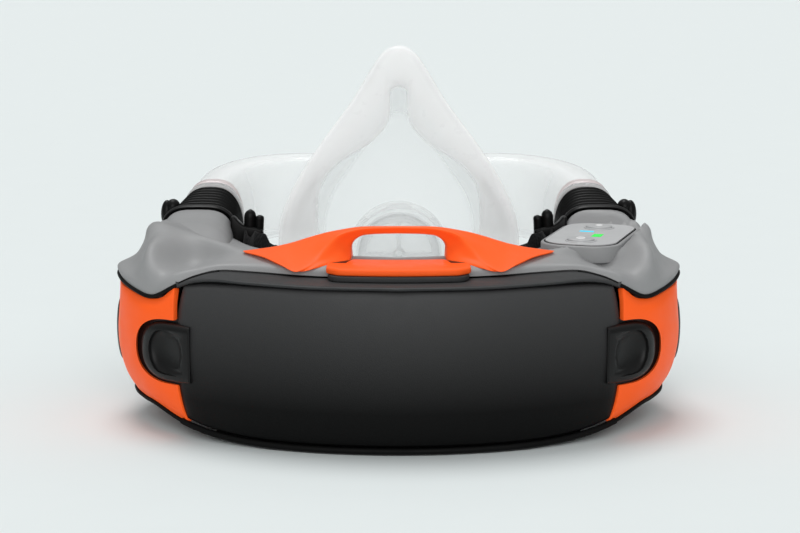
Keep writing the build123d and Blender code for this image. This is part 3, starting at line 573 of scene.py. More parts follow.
def make_trim_band():
    """Charcoal ledge between the cover and the grey shell."""
    outer = [
        (0, -121.6, 57.4), (28, -118.4, 57.4), (50, -111.2, 57.6), (62, -105.2, 57.6), (70, -100.4, 56.4),
        (76.2, -96.6, 54.0),
    ]
    inner = [(x, y, z - 0.6) for x, y, z in SHELL_EDGE[:6]]
    stations = []
    for low, high in zip(outer, inner):
        low, high = Vector(low), Vector(high)
        stations.append([
            low + Vector((0, 1.0, -1.3)), low + Vector((0, 0.1, -0.7)), low + Vector((0, 0.9, 0.0)),
            low.lerp(high, 0.5) + Vector((0, 0, 0.2)), high,
        ])
    right = net(stations, along=8, across=4)
    rows = [mirrored(row, LEFT) for row in reversed(right[1:])] + right
    band = thicken(grid_object("trim_band_skin", rows), 1.2, (0, 0, 1), even=False)
    finish_piece(band, "power_unit", CHARCOAL, ["trim_band"])


FRAME_NET = [
    [(77.5, -94.8, 53.2), (77.6, -97.4, 49.0), (77.6, -98.4, 42), (77.4, -98.4, 30), (76.6, -98.0, 18),
     (75.0, -97.6, 9.4), (73.0, -97.4, 5.2)],
    [(82.8, -91.4, 48.6), (83.6, -93.6, 45.4), (84.2, -94.0, 40), (84.2, -94.0, 30), (83.4, -93.2, 19),
     (81.2, -92.0, 11), (78.8, -91.2, 6.8)],
    [(89.3, -86.0, 48.0), (90.4, -87.6, 45.0), (91.2, -87.6, 40), (91.4, -87.6, 31), (90.6, -86.8, 21.5),
     (88.6, -85.0, 14), (86.0, -84, 9.6)],
    [(95.4, -77.6, 49.0), (96.2, -78.6, 45.6), (97.0, -78.8, 40), (97.3, -78.6, 32), (96.6, -77.6, 22.5),
     (94.6, -75.8, 15), (91.0, -75, 9.8)],
    [(99.4, -69, 49.4), (99.8, -69.6, 46), (100.4, -69.6, 40), (100.9, -69.4, 32.5), (100.4, -68.6, 25),
     (98.6, -67.4, 17.5), (95.0, -66.5, 10.8)],
    [(101.4, -56, 49.4), (101.2, -56.3, 46), (100.9, -56.5, 40), (101.3, -56.5, 33.5),
     (101.2, -56.0, 26.5), (99.4, -55.5, 18.5), (96, -54.5, 12)],
    [(99.6, -41, 48.6), (99.6, -41.3, 45.5), (99.6, -41.5, 40), (99.6, -41.5, 34.5), (98.8, -41.2, 28),
     (97.0, -40.6, 22.5), (94, -40, 18)],
    [(97.8, -36.5, 48.2), (98.0, -36.5, 45), (98, -36.5, 40.5), (97.6, -36.5, 36), (96.8, -36.5, 30.5),
     (95, -36.5, 25.6), (92.5, -36.5, 22)],
]


def latch_outline(grow=0.0, count=48):
    """D-shaped outline of a latch seen from the back: square at the cover, round at the flank."""
    straight, reach, half = 79.5, 10.8 + grow, LATCH_HALF + 0.6 * grow
    inner = LATCH_INNER - grow
    outline = [(inner, half * 0.97), (straight - 4, half), (straight, half)]
    for index in range(1, count):
        a = pi / 2 - pi * index / count
        outline.append((straight + reach * cos(a) ** 0.8, half * bent(sin(a), 0.85)))
    outline += [(straight, -half), (straight - 4, -half)]
    outline += [(inner, -half * 0.97 + half * 0.194 * step) for step in range(10)]
    return outline


def back_y(x, radius):
    """Y of the curved back at a distance from the middle."""
    return BACK_Y - sqrt(max(radius**2 - x**2, 1.0))


def latch_ring(outline, radius, scale=1.0, depth=0.0):
    """A latch's outline laid on the curved back, sunk where the oval thumb dish is."""
    ring = []
    for x, z in outline:
        x, z = LATCH_MIDDLE + (x - LATCH_MIDDLE) * scale, z * scale
        reach = hypot((x - 80.8) / 6.3, z / 8.4)
        dish = depth * max(0.0, 1 - reach**2) ** 0.6
        ring.append(Vector((x, back_y(x, radius - dish), LATCH_Z + z)))
    return ring


def latch_cutter(side):
    """Solid that opens the pocket of a latch in the side frame."""
    rows = [mirrored(latch_ring(latch_outline(2.0), radius), side) for radius in (118.0, 124.0, 136.0)]
    return grid_object("cutter", rows, closed_columns=True, caps=True)


def make_side_frames():
    """Orange frames that wrap round the flanks, with a pocket for each latch lined in black as painted shade
    in the gap round the latch.
    """
    right = net(FRAME_NET, along=8, across=6)
    floor_radius = 123.6
    for name, side in SIDES:
        skin = grid_object(f"{name}_frame_skin", mirrored_rows(right, side))
        thicken(skin, 2.4, (side, 0, 0), rim=0.4)
        carve(skin, latch_cutter(side))
        finish_piece(skin, "power_unit", ORANGE, [f"{name}_side_frame"])
        # painted shade: the pocket is lined in black so that the gap round the latch reads dark
        radii = (127.6, 124.5, floor_radius)
        rows = [mirrored(latch_ring(latch_outline(2.5), radius), side) for radius in radii]
        middle = Vector((80.5 * side, back_y(80.5, floor_radius), LATCH_Z))
        rows.append([middle.lerp(p, 0.05) for p in rows[-1]])
        pocket = grid_object(f"{name}_latch_pocket", rows, closed_columns=True, caps=True)
        finish_piece(pocket, "power_unit", BLACK)
        edge = smooth_line([(p[-1][0] * side, p[-1][1], p[-1][2] - 0.6) for p in FRAME_NET], 8)
        finish_piece(tube_along(f"{name}_frame_bead", edge, 0.8), "power_unit", GASKET)


def make_side_caps():
    """Black lens-shaped caps on the flanks."""
    for name, side in SIDES:
        rows = []
        for step in range(9):
            a = pi / 2 * step / 8
            x, half_y, half_z = 101.0 + 2.2 * sin(a), 5.0 * cos(a), 12.0 * cos(a)
            ring = [(x, -57.0 + half_y * cos(t), 31.0 + half_z * sin(t)) for t in angles(40)]
            rows.append(mirrored(ring, side))
        rows.insert(0, [p - Vector((1.5 * side, 0, 0)) for p in rows[0]])
        cap = grid_object(f"{name}_cap", rows, closed_columns=True, caps=True)
        finish_piece(cap, "power_unit", BLACK, [f"{name}_side_cap"])


def make_lower_shell():
    """Lower shell, drawn in at the flanks so that the orange frames hide its edge."""
    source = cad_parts["lower_shell"]
    shell = bpy.data.objects.new("lower_shell_skin", source.data.copy())
    bpy.context.scene.collection.objects.link(shell)
    for vertex in shell.data.vertices:
        place = source.matrix_world @ vertex.co / MM
        flank = clamped((abs(place.x) - 60.0) / 12.0)
        low = clamped((28.0 - place.z) / 8.0)
        outer = clamped((abs(place.x) - 84.0) / 8.0)
        inset = 1.3 * outer + 4.6 * flank * low
        place.x -= inset if place.x > 0 else -inset
        vertex.co = place * MM
    finish_piece(shell, "power_unit", GREY_LOW, ["lower_shell"])


def make_latches():
    """Latches with a rounded edge and an oval dish for the thumb."""
    outline = latch_outline()
    edge = ((0, 123.6), (0, 128.6), (0.3, 129.7), (1.1, 130.4), (2.4, 130.6))
    right = [latch_ring(outline, radius, 1 - inset / LATCH_HALF) for inset, radius in edge]
    face, face_radius = 1 - edge[-1][0] / LATCH_HALF, edge[-1][1]
    right += [latch_ring(outline, face_radius, face * (0.98 - 0.04 * step), 3.2) for step in range(25)]
    for name, side in SIDES:
        rows = mirrored_rows(right, side)
        latch = grid_object(f"{name}_latch_body", rows, closed_columns=True, caps=True)
        finish_piece(latch, f"{name}_latch_body", BLACK, [f"{name}_latch"])


def cover_top(share):
    """Height of the cover's upper edge at a share of its half width."""
    return 55.9 - 2.2 * abs(share) ** 8


def make_cover():
    """Black filter cover: a curved panel with round edges."""
    columns, rows_count = 96, 44
    rows = []
    for i in range(rows_count + 1):
        t = sin((-1 + 2 * i / rows_count) * pi / 2)
        row = []
        for j in range(columns + 1):
            s = sin((-1 + 2 * j / columns) * pi / 2)
            x = s * (77.0 - 3.0 * abs(t) ** 3)
            low, high = 2.4 + 4.4 * abs(s) ** 6, cover_top(s)
            z = (low + high) / 2 + t * (high - low) / 2
            edge = max(abs(s) ** 34, abs(t) ** 22)
            roll = 3.6 * (1 - sqrt(max(0.0, 1 - edge**2)))
            crown = 2.4 * (1 - t**2)
            row.append(Vector((x, back_y(x, BACK_RADIUS - 2.2 + crown - roll), z)))
        rows.append(row)
    skin = thicken(grid_object("cover_skin", rows), 2.6, (0, -1, 0), rim=0.6)
    finish_piece(skin, "cover", BLACK_COVER, ["filter_cover"])
    for name, low, radius in (("cover_top_seam", False, 123.4), ("cover_foot_seam", True, 126.2)):
        line = []
        for index in range(81):
            s = -1 + index / 40
            x = 75.5 * s
            z = 1.5 + 4.2 * abs(s) ** 6 if low else cover_top(s)
            line.append((x, back_y(x, radius), z))
        finish_piece(tube_along(name, line, 1.1), "power_unit", GASKET)


# Closed sections of the handle from the middle to its tip, each going round the bar: back edge, top,
# front edge, then the front face down to the opening or the foot, and back underneath
HANDLE_SECTIONS = [
    [(0, -83.4, 70.9), (0, -83.6, 72.2), (0, -85.6, 72.7), (0, -87.2, 72.4), (0, -86.6, 71.4),
     (0, -86.0, 70.4), (0, -85.4, 70.1), (0, -84.4, 70.2)],
    [(9, -83.0, 70.7), (10, -83.2, 72.1), (10.2, -85.4, 72.6), (10.2, -87.4, 72.2), (9.8, -86.8, 71.1),
     (9.4, -86.0, 70.1), (9.2, -85.2, 69.8), (9, -84.2, 69.9)],
    [(13.6, -82.4, 69.6), (15, -82.8, 71.7), (15.2, -85.6, 72.2), (15.6, -88.4, 71.6),
     (14.8, -87.4, 70.2), (14.0, -86.2, 69.0), (13.8, -85.0, 68.9), (13.6, -83.6, 69.0)],
    [(16.4, -81.6, 66.4), (20, -82.2, 70.7), (20.3, -86.0, 71.0), (20.8, -90.0, 70.0),
     (19.0, -88.4, 67.8), (17.2, -87.0, 66.0), (16.4, -85.4, 65.8), (16.4, -83.4, 65.9)],
    [(17.0, -80.4, 60.8), (24.4, -81.4, 69.5), (25.0, -86.4, 69.2), (25.0, -92.6, 66.6),
     (22.6, -93.2, 64.0), (19.6, -93.2, 62.4), (17.0, -91.0, 61.4), (16.8, -83.6, 60.4)],
    [(22.0, -78.4, 60.6), (30, -80.2, 68.0), (30.2, -86.6, 67.0), (29.4, -96.4, 63.0),
     (27.8, -98.2, 61.9), (25.6, -98.6, 61.5), (22.8, -96.0, 61.0), (21.6, -84, 60.2)],
    [(31.6, -77.0, 61.2), (37.4, -79.6, 65.9), (37.4, -87.0, 64.6), (35.4, -100.6, 60.0),
     (33.8, -101.0, 59.4), (31.8, -100.8, 59.6), (29.8, -98.0, 60.4), (30.0, -84, 60.8)],
    [(39.4, -76.8, 61.8), (44.0, -79.4, 64.5), (43.4, -86.6, 63.9), (41.0, -96.6, 61.6),
     (40.4, -96.6, 60.6), (39.2, -96.0, 60.2), (37.6, -93.8, 60.8), (37.6, -84, 61.4)],
    [(47.4, -77.8, 62.2), (49.2, -79.8, 63.8), (48.8, -84.2, 63.5), (47.4, -89.8, 62.9),
     (46.8, -89.6, 62.2), (46.0, -89.0, 61.9), (45.4, -87, 61.9), (46.0, -82, 62.0)],
    [(54.2, -80.4, 62.6), (54.6, -80.6, 63.2), (54.6, -81.6, 63.2), (54.2, -82.4, 63.1),
     (54.0, -82.2, 62.8), (53.8, -82.0, 62.6), (53.6, -81.6, 62.5), (53.8, -80.8, 62.5)],
]


def make_handle():
    """Orange carrying handle: a saddle whose top sweeps up from two tips into an arch."""
    right = net(HANDLE_SECTIONS, along=8, across=5, closed_across=True)
    rows = [mirrored(row, LEFT) for row in reversed(right[1:])] + right
    bar = grid_object("handle_bar", rows, closed_columns=True, caps=True)
    finish_piece(bar, "power_unit", ORANGE, ["handle"])


def back_strip(half, outer, inner, steps=40):
    """Outline seen from above of a strip along the curved back, from radii at each place across."""
    places = [-half + 2 * half * index / steps for index in range(steps + 1)]
    ring = [(x, back_y(x, outer(x))) for x in places]
    return ring + [(-x, back_y(x, inner(x))) for x in places]


def curved_slab(name, half, radii, z, corner=2.0):
    """Slab that follows the curve of the back, with rounded corners."""
    inner, outer = radii

    def rounded(x):
        inset = max(0.0, corner - (half - abs(x)))
        return outer - (corner - sqrt(max(corner**2 - inset**2, 0)))

    ring = back_strip(half, rounded, lambda x: inner)
    rows = [[Vector((x, y, height)) for x, y in ring] for height in z]
    return grid_object(name, rows, closed_columns=True, caps=True)


def tongue_ring(half, corner):
    """Outline of the tongue from above: curved front with cut corners, and a back under the arch."""
    return back_strip(
        half,
        lambda x: 117.4 - 0.8 * max(0.0, corner - (half - abs(x))),
        lambda x: 104.6 - 8.6 * clamped((18.5 - abs(x)) / 2.0),
    )


def make_tongue():
    """Orange tongue at the foot of the handle, its charcoal tray and the dark slots beside it."""
    ring = tongue_ring(24.6, 4.0)
    rows = [[Vector((x, y, z)) for x, y in ring] for z in (59.6, 61.9)]
    tongue = grid_object("tongue_slab", rows, closed_columns=True, caps=True)
    finish_piece(round_edges(tongue, 0.8), "power_unit", ORANGE, ["tongue_plate"])
    tray = curved_slab("tongue_tray_slab", 24.0, (108, 118.2), (57.6, 59.5), corner=4.0)
    finish_piece(round_edges(tray, 0.4), "power_unit", CHARCOAL, ["tongue_tray"])
    bed = curved_slab("tongue_slot", 23.4, (98.5, 106.0), (60.6, 61.75), corner=1.0)
    finish_piece(round_edges(bed, 0.2), "power_unit", BLACK)


def make_neck_pad():
    """Soft pad round the inside of the neck opening, blown up between its edges like a filled cushion."""
    rows = []
    reach, count, around = radians(82), 96, 28
    for index in range(count + 1):
        share = abs(index - count / 2) / (count / 2)
        a = -pi / 2 - reach + 2 * reach * index / count
        close = min(1.0, min(index, count - index) / 6)
        taper = sqrt(1 - (1 - close) ** 2)
        low = 15.5 + 7.0 * share**6
        rise = clamped((share - 0.2) / 0.4)
        high = 58.0 + 6.3 * rise * rise * (3 - 2 * rise) - 1.5 * share**8
        middle, half = (low + high) / 2, (high - low) / 2 * (0.75 + 0.25 * taper)
        row = []
        for t in angles(around):
            height = half * bent(sin(t), 0.5)
            radius = 60.4 + 2.2 * max(taper, 0.15) * bent(cos(t), 0.75)
            row.append(Vector((radius * cos(a), NECK_Y + radius * sin(a), middle + height)))
        rows.append(row)
    pad = grid_object("neck_pad_cushion", rows, closed_columns=True, caps=True)
    fill_with_air(pad, voxel=4.5, cap=4.0)
    finish_piece(pad, "power_unit", PAD, ["neck_pad"])


def fill_with_air(pad, voxel, cap):
    """Short cloth simulation that swells a pad whose outer side is held by the wall behind it."""
    remesh = pad.modifiers.new("even", "REMESH")
    remesh.mode = "VOXEL"
    remesh.voxel_size = voxel * MM
    apply_modifiers(pad)
    held = pad.vertex_groups.new(name="held")
    rest = [v.co.copy() for v in pad.data.vertices]
    held.add([v.index for v in pad.data.vertices if wall_distance(v.co) > 61.4], 1.0, "REPLACE")
    cloth = pad.modifiers.new("cloth", "CLOTH")
    cloth.settings.use_pressure = True
    cloth.settings.uniform_pressure_force = 4.0
    cloth.settings.vertex_group_mass = "held"
    cloth.settings.effector_weights.gravity = 0.0
    for number in range(1, 21):
        bpy.context.scene.frame_set(number)
    graph = bpy.context.evaluated_depsgraph_get()
    moved = [v.co.copy() for v in pad.evaluated_get(graph).data.vertices]
    pad.modifiers.clear()
    bpy.context.scene.frame_set(1)
    for vertex, start, end in zip(pad.data.vertices, rest, moved):
        step = end - start
        if step.length > cap * MM:
            step *= cap * MM / step.length
        vertex.co = start + step
    finer = pad.modifiers.new("finer", "SUBSURF")
    finer.levels = 1
    apply_modifiers(pad)


def wall_distance(place):
    """Distance of a point from the axis of the neck opening, in millimetres."""
    return hypot(place.x / MM, place.y / MM - NECK_Y)


def make_strap_holders():
    """Black rubber posts for the head harness: a fin outside each arm and a double hook inside."""
    web = [
        (64.6, 48), (64.6, 66), (63, 66), (61, 63.6), (59.4, 62.4), (55, 61.8), (52.2, 61.0), (52.0, 57.6),
        (56, 52), (61, 48),
    ]
    for name, side in SIDES:
        fins = []
        for x, z, wide, tall in ((91.6, 63.6, 2.5, 5.6), (89.2, 66.6, 2.8, 3.0)):
            rows = []
            for step in range(13):
                a = -pi / 2 + pi * step / 12
                c, height = cos(a), z + tall * sin(a)
                ring = [(x + wide * c * cos(t), 5.0 + 3.2 * c * sin(t), height) for t in angles(24)]
                rows.append(mirrored(ring, side))
            fins.append(grid_object("fin", rows, closed_columns=True, caps=True))
        stud = join(f"{name}_stud_fin", fins)
        finish_piece(stud, "power_unit", RUBBER, [f"{name}_strap_stud"])

        parts = []
        for x, top, radius in ((57.2, 68.6, 2.3), (53.6, 66.4, 1.8)):
            stops = ((0.6, 56.0), (0.2, 60.0), (0.0, 64.0), (-0.2, top))
            line = smooth_line([(x + lean, HOOK_Y, z) for lean, z in stops], 6)
            parts.append(post("post", mirrored(line, side), radius))
        rows = [mirrored([(x, y, z) for x, z in web], side) for y in (HOOK_Y - 2.5, HOOK_Y + 2.5)]
        parts.append(round_edges(grid_object("web", rows, closed_columns=True, caps=True), 0.8))
        hook = join(f"{name}_hook_posts", parts)
        finish_piece(hook, "power_unit", RUBBER, [f"{name}_strap_hook"])


def post(name, line, radius):
    """Bead with a rounded end."""
    rows = []
    for index, point in enumerate(line):
        share = index / (len(line) - 1)
        width = radius * (1 if share < 0.8 else sqrt(max(0.03, 1 - ((share - 0.8) / 0.2) ** 2)))
        rows.append([Vector(point) + Vector((width * cos(t), width * 0.9 * sin(t), 0)) for t in angles(16)])
    return grid_object(name, rows, closed_columns=True, caps=True)


def join(name, parts):
    """One object from several."""
    points, faces = [], []
    for part in parts:
        offset = len(points)
        points += [v.co / MM for v in part.data.vertices]
        faces += [tuple(offset + i for i in polygon.vertices) for polygon in part.data.polygons]
        bpy.data.objects.remove(part)
    return mesh_object(name, points, faces)


# ---------------------------------------------------------------- keypad


def keypad_block(name, size, z, corner, steps=10):
    """Rounded block turned like the keypad."""
    half_x, half_y = size[0] / 2, size[1] / 2
    ring = []
    for cx, cy, start in ((1, 1, 0), (-1, 1, 90), (-1, -1, 180), (1, -1, 270)):
        for k in range(steps + 1):
            a = radians(start + 90 * k / steps)
            ring.append((cx * (half_x - corner) + corner * cos(a), cy * (half_y - corner) + corner * sin(a)))
    rows = [[keypad_point(x, y, height) for x, y in ring] for height in z]
    return grid_object(name, rows, closed_columns=True, caps=True)


def grown_keypad(extra):
    """Width and length of the keypad with something added to both."""
    return KEYPAD_SIZE[0] + extra, KEYPAD_SIZE[1] + extra


def keypad_circle(radius, along, z, count):
    """Circle on the keypad's middle line."""
    return [keypad_point(radius * cos(t), along + radius * sin(t), z) for t in angles(count)]


def make_keypad():
    """Keypad plate with its dark outline, raised button rims and small marks."""
    rim = keypad_block("keypad_outline", grown_keypad(1.2), (61.5, KEYPAD_TOP - 0.35), 9.6)
    finish_piece(rim, "power_unit", GASKET, ["keypad_gasket"])
    bezel = keypad_block("keypad_bezel", grown_keypad(3.4), (57.5, KEYPAD_TOP - 0.45), 10.7)
    finish_piece(round_edges(bezel, 0.6), "power_unit", GREY)
    recolour("keypad_plate", KEYPAD_GREY)
    button_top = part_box("power_button")[1][2] / MM
    for node, along, mark_radius in (("power_button", -17.0, 1.5), ("flow_button", 14.5, 1.1)):
        recolour(node, BUTTON_GREY)
        ring = tube_along(f"{node}_rim", keypad_circle(5.3, along, KEYPAD_TOP, 48), 0.45, closed=True)
        finish_piece(ring, "power_unit", BUTTON_GREY)
        circle = keypad_circle(mark_radius, along, button_top, 32)
        mark = tube_along(f"{node}_mark", circle, 0.22, sides=8, closed=True)
        finish_piece(mark, f"{node}_body", ICON_WHITE)


def recolour(node, material):
    """Gives a CAD node a procedural material."""
    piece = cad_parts[node]
    if not piece.material_slots:
        piece.data.materials.append(material)
    for place in piece.material_slots:
        place.material = material


# ---------------------------------------------------------------- arms


def arm_point(x, along, z):
    """Point of the tilted frame of the arms."""
    c, s = cos(ARM_TILT), sin(ARM_TILT)
    return Vector((x, ARM_END.y + along * c - z * s, ARM_END.z + along * s + z * c))


def make_bellows():
    """Black bellows with rounded ribs, running between the unit and the collars."""
    ribs, per_rib = 9, 12
    for name, side in SIDES:
        rows = []
        total = ribs * per_rib
        for index in range(total + 1):
            share = index / total
            wave = (0.5 + 0.5 * cos(2 * pi * (index / per_rib - 0.5))) ** 0.6
            grow = 0.8 + 0.5 * wave if index < per_rib else -2.6 + 2.8 * wave
            width = 29.0 + (25.6 - 29.0) * share + 2 * grow
            height = 38.4 + (39.0 - 38.4) * share + 2 * grow
            centre = ARM_END.x + (COLLAR_X - ARM_END.x) * share
            along = 0.1 + (BELLOWS_LENGTH - 0.2) * share
            ring = rounded_ring(width, height, 3.4 - 0.9 * share, 64)
            rows.append(mirrored([arm_point(centre + a, along, b) for a, b in ring], side))
        bellows = grid_object(f"{name}_bellows_skin", rows, closed_columns=True)
        thicken(bellows, 1.0, (side, 0, 0))
        bellows.data.materials.clear()
        bellows.data.materials.append(RUBBER)
        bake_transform(bellows)
        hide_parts(f"{name}_bellows")


def straight_sleeve(name, side, profile, power=3.4):
    """Sleeve along the arm from stops of place, width and height."""
    rows = []
    for along, width, height in profile:
        ring = rounded_ring(width, height, power, 64)
        rows.append(mirrored([arm_point(COLLAR_X + a, along, b) for a, b in ring], side))
    return grid_object(name, rows, closed_rows=True, closed_columns=True)


def make_collars_and_cuffs():
    """Grey collars at the ends of the bellows and pinkish clear cuffs on them."""
    start = BELLOWS_LENGTH + 0.3
    for name, side in SIDES:
        profile = [
            (start, 16.4, 29.4), (start, 25.0, 38.6), (start + 0.6, 26.0, 39.8), (start + 4.8, 25.8, 39.4),
            (start + 5.8, 24.6, 38.2), (start + 5.9, 19.2, 32.2), (start + 13, 19, 32),
            (start + 13, 16.4, 29.4),
        ]
        collar = straight_sleeve(f"{name}_collar_ring", side, profile, 2.6)
        finish_piece(collar, "yoke", COLLAR_GREY, [f"{name}_collar"])
        first = start + COLLAR_LENGTH + 0.3
        profile = [
            (first, 20.4, 33.4), (first, 23.8, 38.2), (first + 1.0, 24.8, 39.4), (first + 3, 23.6, 38.2),
            (first + 5.5, 24.2, 38.8), (first + 8, 22.4, 37.4), (first + 8, 20.4, 33.4),
        ]
        cuff = straight_sleeve(f"{name}_cuff_ring", side, profile, 2.6)
        finish_piece(cuff, "mask", CUFF, [f"{name}_cuff"])


# ---------------------------------------------------------------- mask

SHELL_JOINT = [(0, 109), (8, 104), (17, 91), (28, 77), (39, 62), (45.6, 46), (42, 25), (28, 9), (0, 3)]
SEAL_JOINT = [
    (0, 109), (5, 106.6), (10, 101), (18, 89.6), (28, 77), (38, 63.4), (45.4, 47), (42, 25), (28, 9),
    (0, 3),
]
FRONT = [(0, 96), (8, 92), (15, 83), (24, 70), (32, 57), (35, 42), (32, 22), (21, 8.5), (0, 4.5)]
OPENING = [
    (0, 108.6), (3.4, 106.5), (3.6, 99), (5.4, 92), (13, 84), (25.6, 76.2), (33.8, 64), (33.0, 40),
    (21.5, 19.5), (0, 13.5),
]
LIP = [
    (0, 126.2), (6.4, 123.6), (12, 116), (20.8, 101.8), (33.6, 84.6), (44.4, 67.4), (50.6, 50), (49, 27),
    (33, 9), (0, 2.2),
]
FACE_RADIUS = 114.0
NOSE_Y = 64.0


def outline_ring(half, steps=8):
    """Smooth closed ring of pairs through one half of a symmetric outline."""
    loop = [Vector((x, z, 0)) for x, z in half] + [Vector((-x, z, 0)) for x, z in reversed(half[1:-1])]
    return [(p.x, p.y) for p in smooth_line(loop, steps, closed=True)]


def face_y(x):
    """Where the face is, at a distance from its middle."""
    return NOSE_Y - FACE_RADIUS + sqrt(FACE_RADIUS**2 - x**2)


def between(a, b, share):
    """Pair between two pairs."""
    return a[0] + (b[0] - a[0]) * share, a[1] + (b[1] - a[1]) * share


def make_face_seal():
    """Silicone seal: a soft lip that turns in round nose and mouth, and a skirt to the shell."""
    lip, opening = outline_ring(LIP), outline_ring(OPENING)
    joint = outline_ring(SEAL_JOINT)
    rows = []
    roll = ((0, 5.5), (0.04, 2.6), (0.16, 0.9), (0.4, 0.2), (0.65, 0.3), (0.86, 0.9), (0.97, 2.4), (1.0, 4.6))
    for share, lift in roll:
        row = []
        for inner, outer in zip(opening, lip):
            x, z = between(inner, outer, share)
            row.append(Vector((x, face_y(x) + lift, z)))
        rows.append(row)
    for share in (0.25, 0.55, 0.85, 1.0):
        row = []
        for outer, inner in zip(lip, joint):
            x, z = between(outer, inner, share**1.4)
            start = face_y(outer[0]) + 4.6
            row.append(Vector((x, start + (SEAL_JOINT_Y - start) * share, z)))
        rows.append(row)
    rows = net([list(column) for column in zip(*rows)], along=1, across=3, closed_along=True)
    seal = grid_object("face_seal_lip", rows, closed_rows=True)
    thicken(seal, 1.6, (1, 0, 0), rim=0.5)
    finish_piece(seal, "mask", SILICONE, ["face_seal"])


def make_mask_shell():
    """Clear shell of the mask, closed in front round the valve."""
    joint, front = outline_ring(SHELL_JOINT), outline_ring(FRONT)
    rows = []
    for share, y in ((0, SHELL_Y[0]), (0.08, SHELL_Y[0] + 4), (0.35, 86), (0.68, 98), (0.92, 107)):
        pairs = [between(a, b, share) for a, b in zip(joint, front)]
        rows.append([Vector((x, y, z)) for x, z in pairs])
    for share, y in ((0.04, 110.4), (0.12, 111.6), (0.3, 112.0), (0.55, 112.0), (0.8, 112.0), (1.0, 112.0)):
        row = []
        for x, z in front:
            reach = hypot(x, z - VALVE_Z)
            keep = reach + (17.5 - reach) * share
            row.append(Vector((x / reach * keep, y, VALVE_Z + (z - VALVE_Z) / reach * keep)))
        rows.append(row)
    shell = grid_object("mask_shell_skin", rows, closed_columns=True)
    wall = shell.modifiers.new("wall", "SOLIDIFY")
    wall.thickness = 1.4 * MM
    apply_modifiers(face_towards(shell, (0, 1, 0)))
    finish_piece(shell, "mask", CLEAR, ["mask_shell"])
    flange = []
    for grow, along in ((0.0, -0.2), (2.0, -0.2), (2.4, 1.4), (2.0, 3.0), (0.0, 3.4)):
        row = []
        for x, z in joint:
            out = Vector((x, 0, z - FLANGE_MIDDLE)).normalized() * grow
            row.append(Vector((x, SHELL_Y[0] + along, z)) + out)
        flange.append(row)
    ring = grid_object("mask_flange", flange, closed_columns=True)
    finish_piece(ring, "mask", CLEAR)


def make_ducts():
    """Clear ducts that curve from the cuffs into the sides of the mask."""
    start = BELLOWS_LENGTH + 0.3 + COLLAR_LENGTH + 0.3 + CUFF_LENGTH + 0.1
    straight, bend = 8.0, 40.0
    path = [(COLLAR_X, start + straight * k / 4, 0.0) for k in range(4)]
    for turn in (radians(a) for a in range(0, 91, 6)):
        path.append((COLLAR_X - bend + bend * cos(turn), start + straight + bend * sin(turn), turn))
    right = []
    for index, (x, along, turn) in enumerate(path):
        swell = sin(pi * index / (len(path) - 1))
        ring = rounded_ring(19.0 + 2.0 * swell, 35.0 + 1.5 * swell, 2.8)
        right.append([arm_point(x + a * cos(turn), along + a * sin(turn), b) for a, b in ring])
    for name, side in SIDES:
        duct = grid_object(f"{name}_duct_tube", mirrored_rows(right, side), closed_columns=True)
        thicken(duct, 1.4, (side, 0, 0))
        finish_piece(duct, "mask", CLEAR, [f"{name}_duct"])


# ---------------------------------------------------------------- filter and inner parts


def make_filter():
    """Pleated paper of the filter."""
    pleats, low, high = 56, 7.2, 51.3
    rows = []
    for z in (low, low + 0.4, high - 0.4, high):
        row = []
        for index in range(2 * pleats + 1):
            x = -69.6 + 139.2 * index / (2 * pleats)
            row.append(Vector((x, back_y(x, 105.8 if index % 2 else 115.0), z)))
        rows.append(row)
    paper = thicken(grid_object("filter_pleats", rows), 0.5, (0, -1, 0), inward=False)
    finish_piece(paper, "cover", PAPER, ["filter_media"])


KEPT_NODES = {
    BLACK: ["filter_frame", "blower_housing", "impeller", "charging_port", "left_arm_duct", "right_arm_duct"],
    GASKET: ["filter_seal"],
    STEEL: ["housing_screws", "motor_shaft", "motor_bearings", "left_latch_pin", "right_latch_pin"],
    ALUMINIUM: ["blower_motor"],
    WRAP: ["left_battery_pack", "right_battery_pack"],
    BOARD: ["main_board", "keypad_board"],
    VALVE: ["valve_seat", "valve_pin", "valve_cover"],
    FLAP: ["valve_flap"],
    BLUE: ["blue_led"],
    GREEN: ["green_led"],
    RED: ["red_led"],
}


def dress_kept_nodes():
    """Materials of the CAD nodes that stay as they are."""
    for material, names in KEPT_NODES.items():
        for name in names:
            recolour(name, material)


# ---------------------------------------------------------------- stage, light and camera


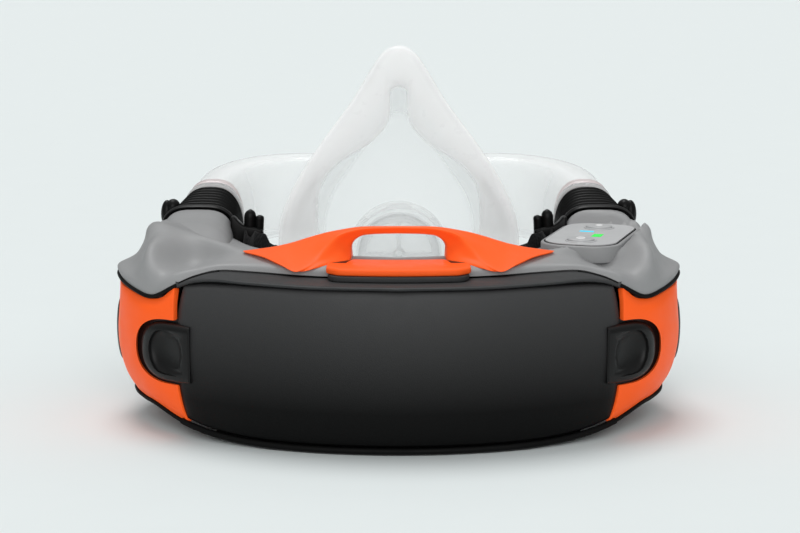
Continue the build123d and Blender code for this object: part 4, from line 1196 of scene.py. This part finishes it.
def make_stage():
    """Plain pale floor and soft studio light."""
    size = 80.0
    floor_mesh = bpy.data.meshes.new("floor")
    corners = [(-size, -size, 0), (size, -size, 0), (size, size, 0), (-size, size, 0)]
    floor_mesh.from_pydata(corners, [], [(0, 1, 2, 3)])
    floor = bpy.data.objects.new("floor", floor_mesh)
    bpy.context.scene.collection.objects.link(floor)
    pale = (0.78, 0.825, 0.825)
    paint = moulded("floor_pale", pale, rough=0.9, vary=0.003, grain=400, bump=0.01, specular=0.0)
    floor.data.materials.append(paint)
    make_sky()
    soft_sun("ceiling_light", radians(-16), radians(-5), 28, 1.3)
    soft_sun("front_light", radians(72), 0.0, 50, 1.25)


def soft_sun(name, tip, lean, spread, power):
    """Even light from one direction, as soft as its angle is wide."""
    sun = bpy.data.lights.new(name, "SUN")
    sun.energy = power
    sun.angle = radians(spread)
    lamp = bpy.data.objects.new(name, sun)
    lamp.rotation_euler = (tip, lean, 0)
    bpy.context.scene.collection.objects.link(lamp)


def make_sky():
    """Room light that falls from dim walls to a bright ceiling."""
    world = bpy.data.worlds.new("studio")
    world.use_nodes = True
    nodes, links = world.node_tree.nodes, world.node_tree.links
    place = nodes.new("ShaderNodeTexCoord")
    height = nodes.new("ShaderNodeSeparateXYZ")
    links.new(place.outputs["Generated"], height.inputs["Vector"])
    tone = ramp(nodes, links, height.outputs["Z"], (0.12, 0.125, 0.125), (0.60, 0.61, 0.61), 0.0, 0.8)
    links.new(tone, nodes["Background"].inputs["Color"])
    nodes["Background"].inputs["Strength"].default_value = 1.0
    bpy.context.scene.world = world


def make_camera():
    """Camera behind the wearer's neck, a little above the unit."""
    data = bpy.data.cameras.new("camera")
    data.lens = 85.68
    data.sensor_width = 36.0
    data.clip_start = 0.01
    camera = bpy.data.objects.new("camera", data)
    camera.location = (0.0005, -0.741, 0.174)
    camera.rotation_euler = (radians(80.0), 0.0, 0.0)
    bpy.context.scene.collection.objects.link(camera)
    bpy.context.scene.camera = camera
    bpy.context.scene.view_settings.view_transform = "Standard"


make_camera()
make_stage()
make_upper_shell()
make_gasket()
make_trim_band()
make_lower_shell()
make_side_frames()
make_side_caps()
make_latches()
make_cover()
make_handle()
make_tongue()
make_neck_pad()
make_strap_holders()
make_keypad()
make_bellows()
make_collars_and_cuffs()
make_face_seal()
make_mask_shell()
make_ducts()
make_filter()
dress_kept_nodes()
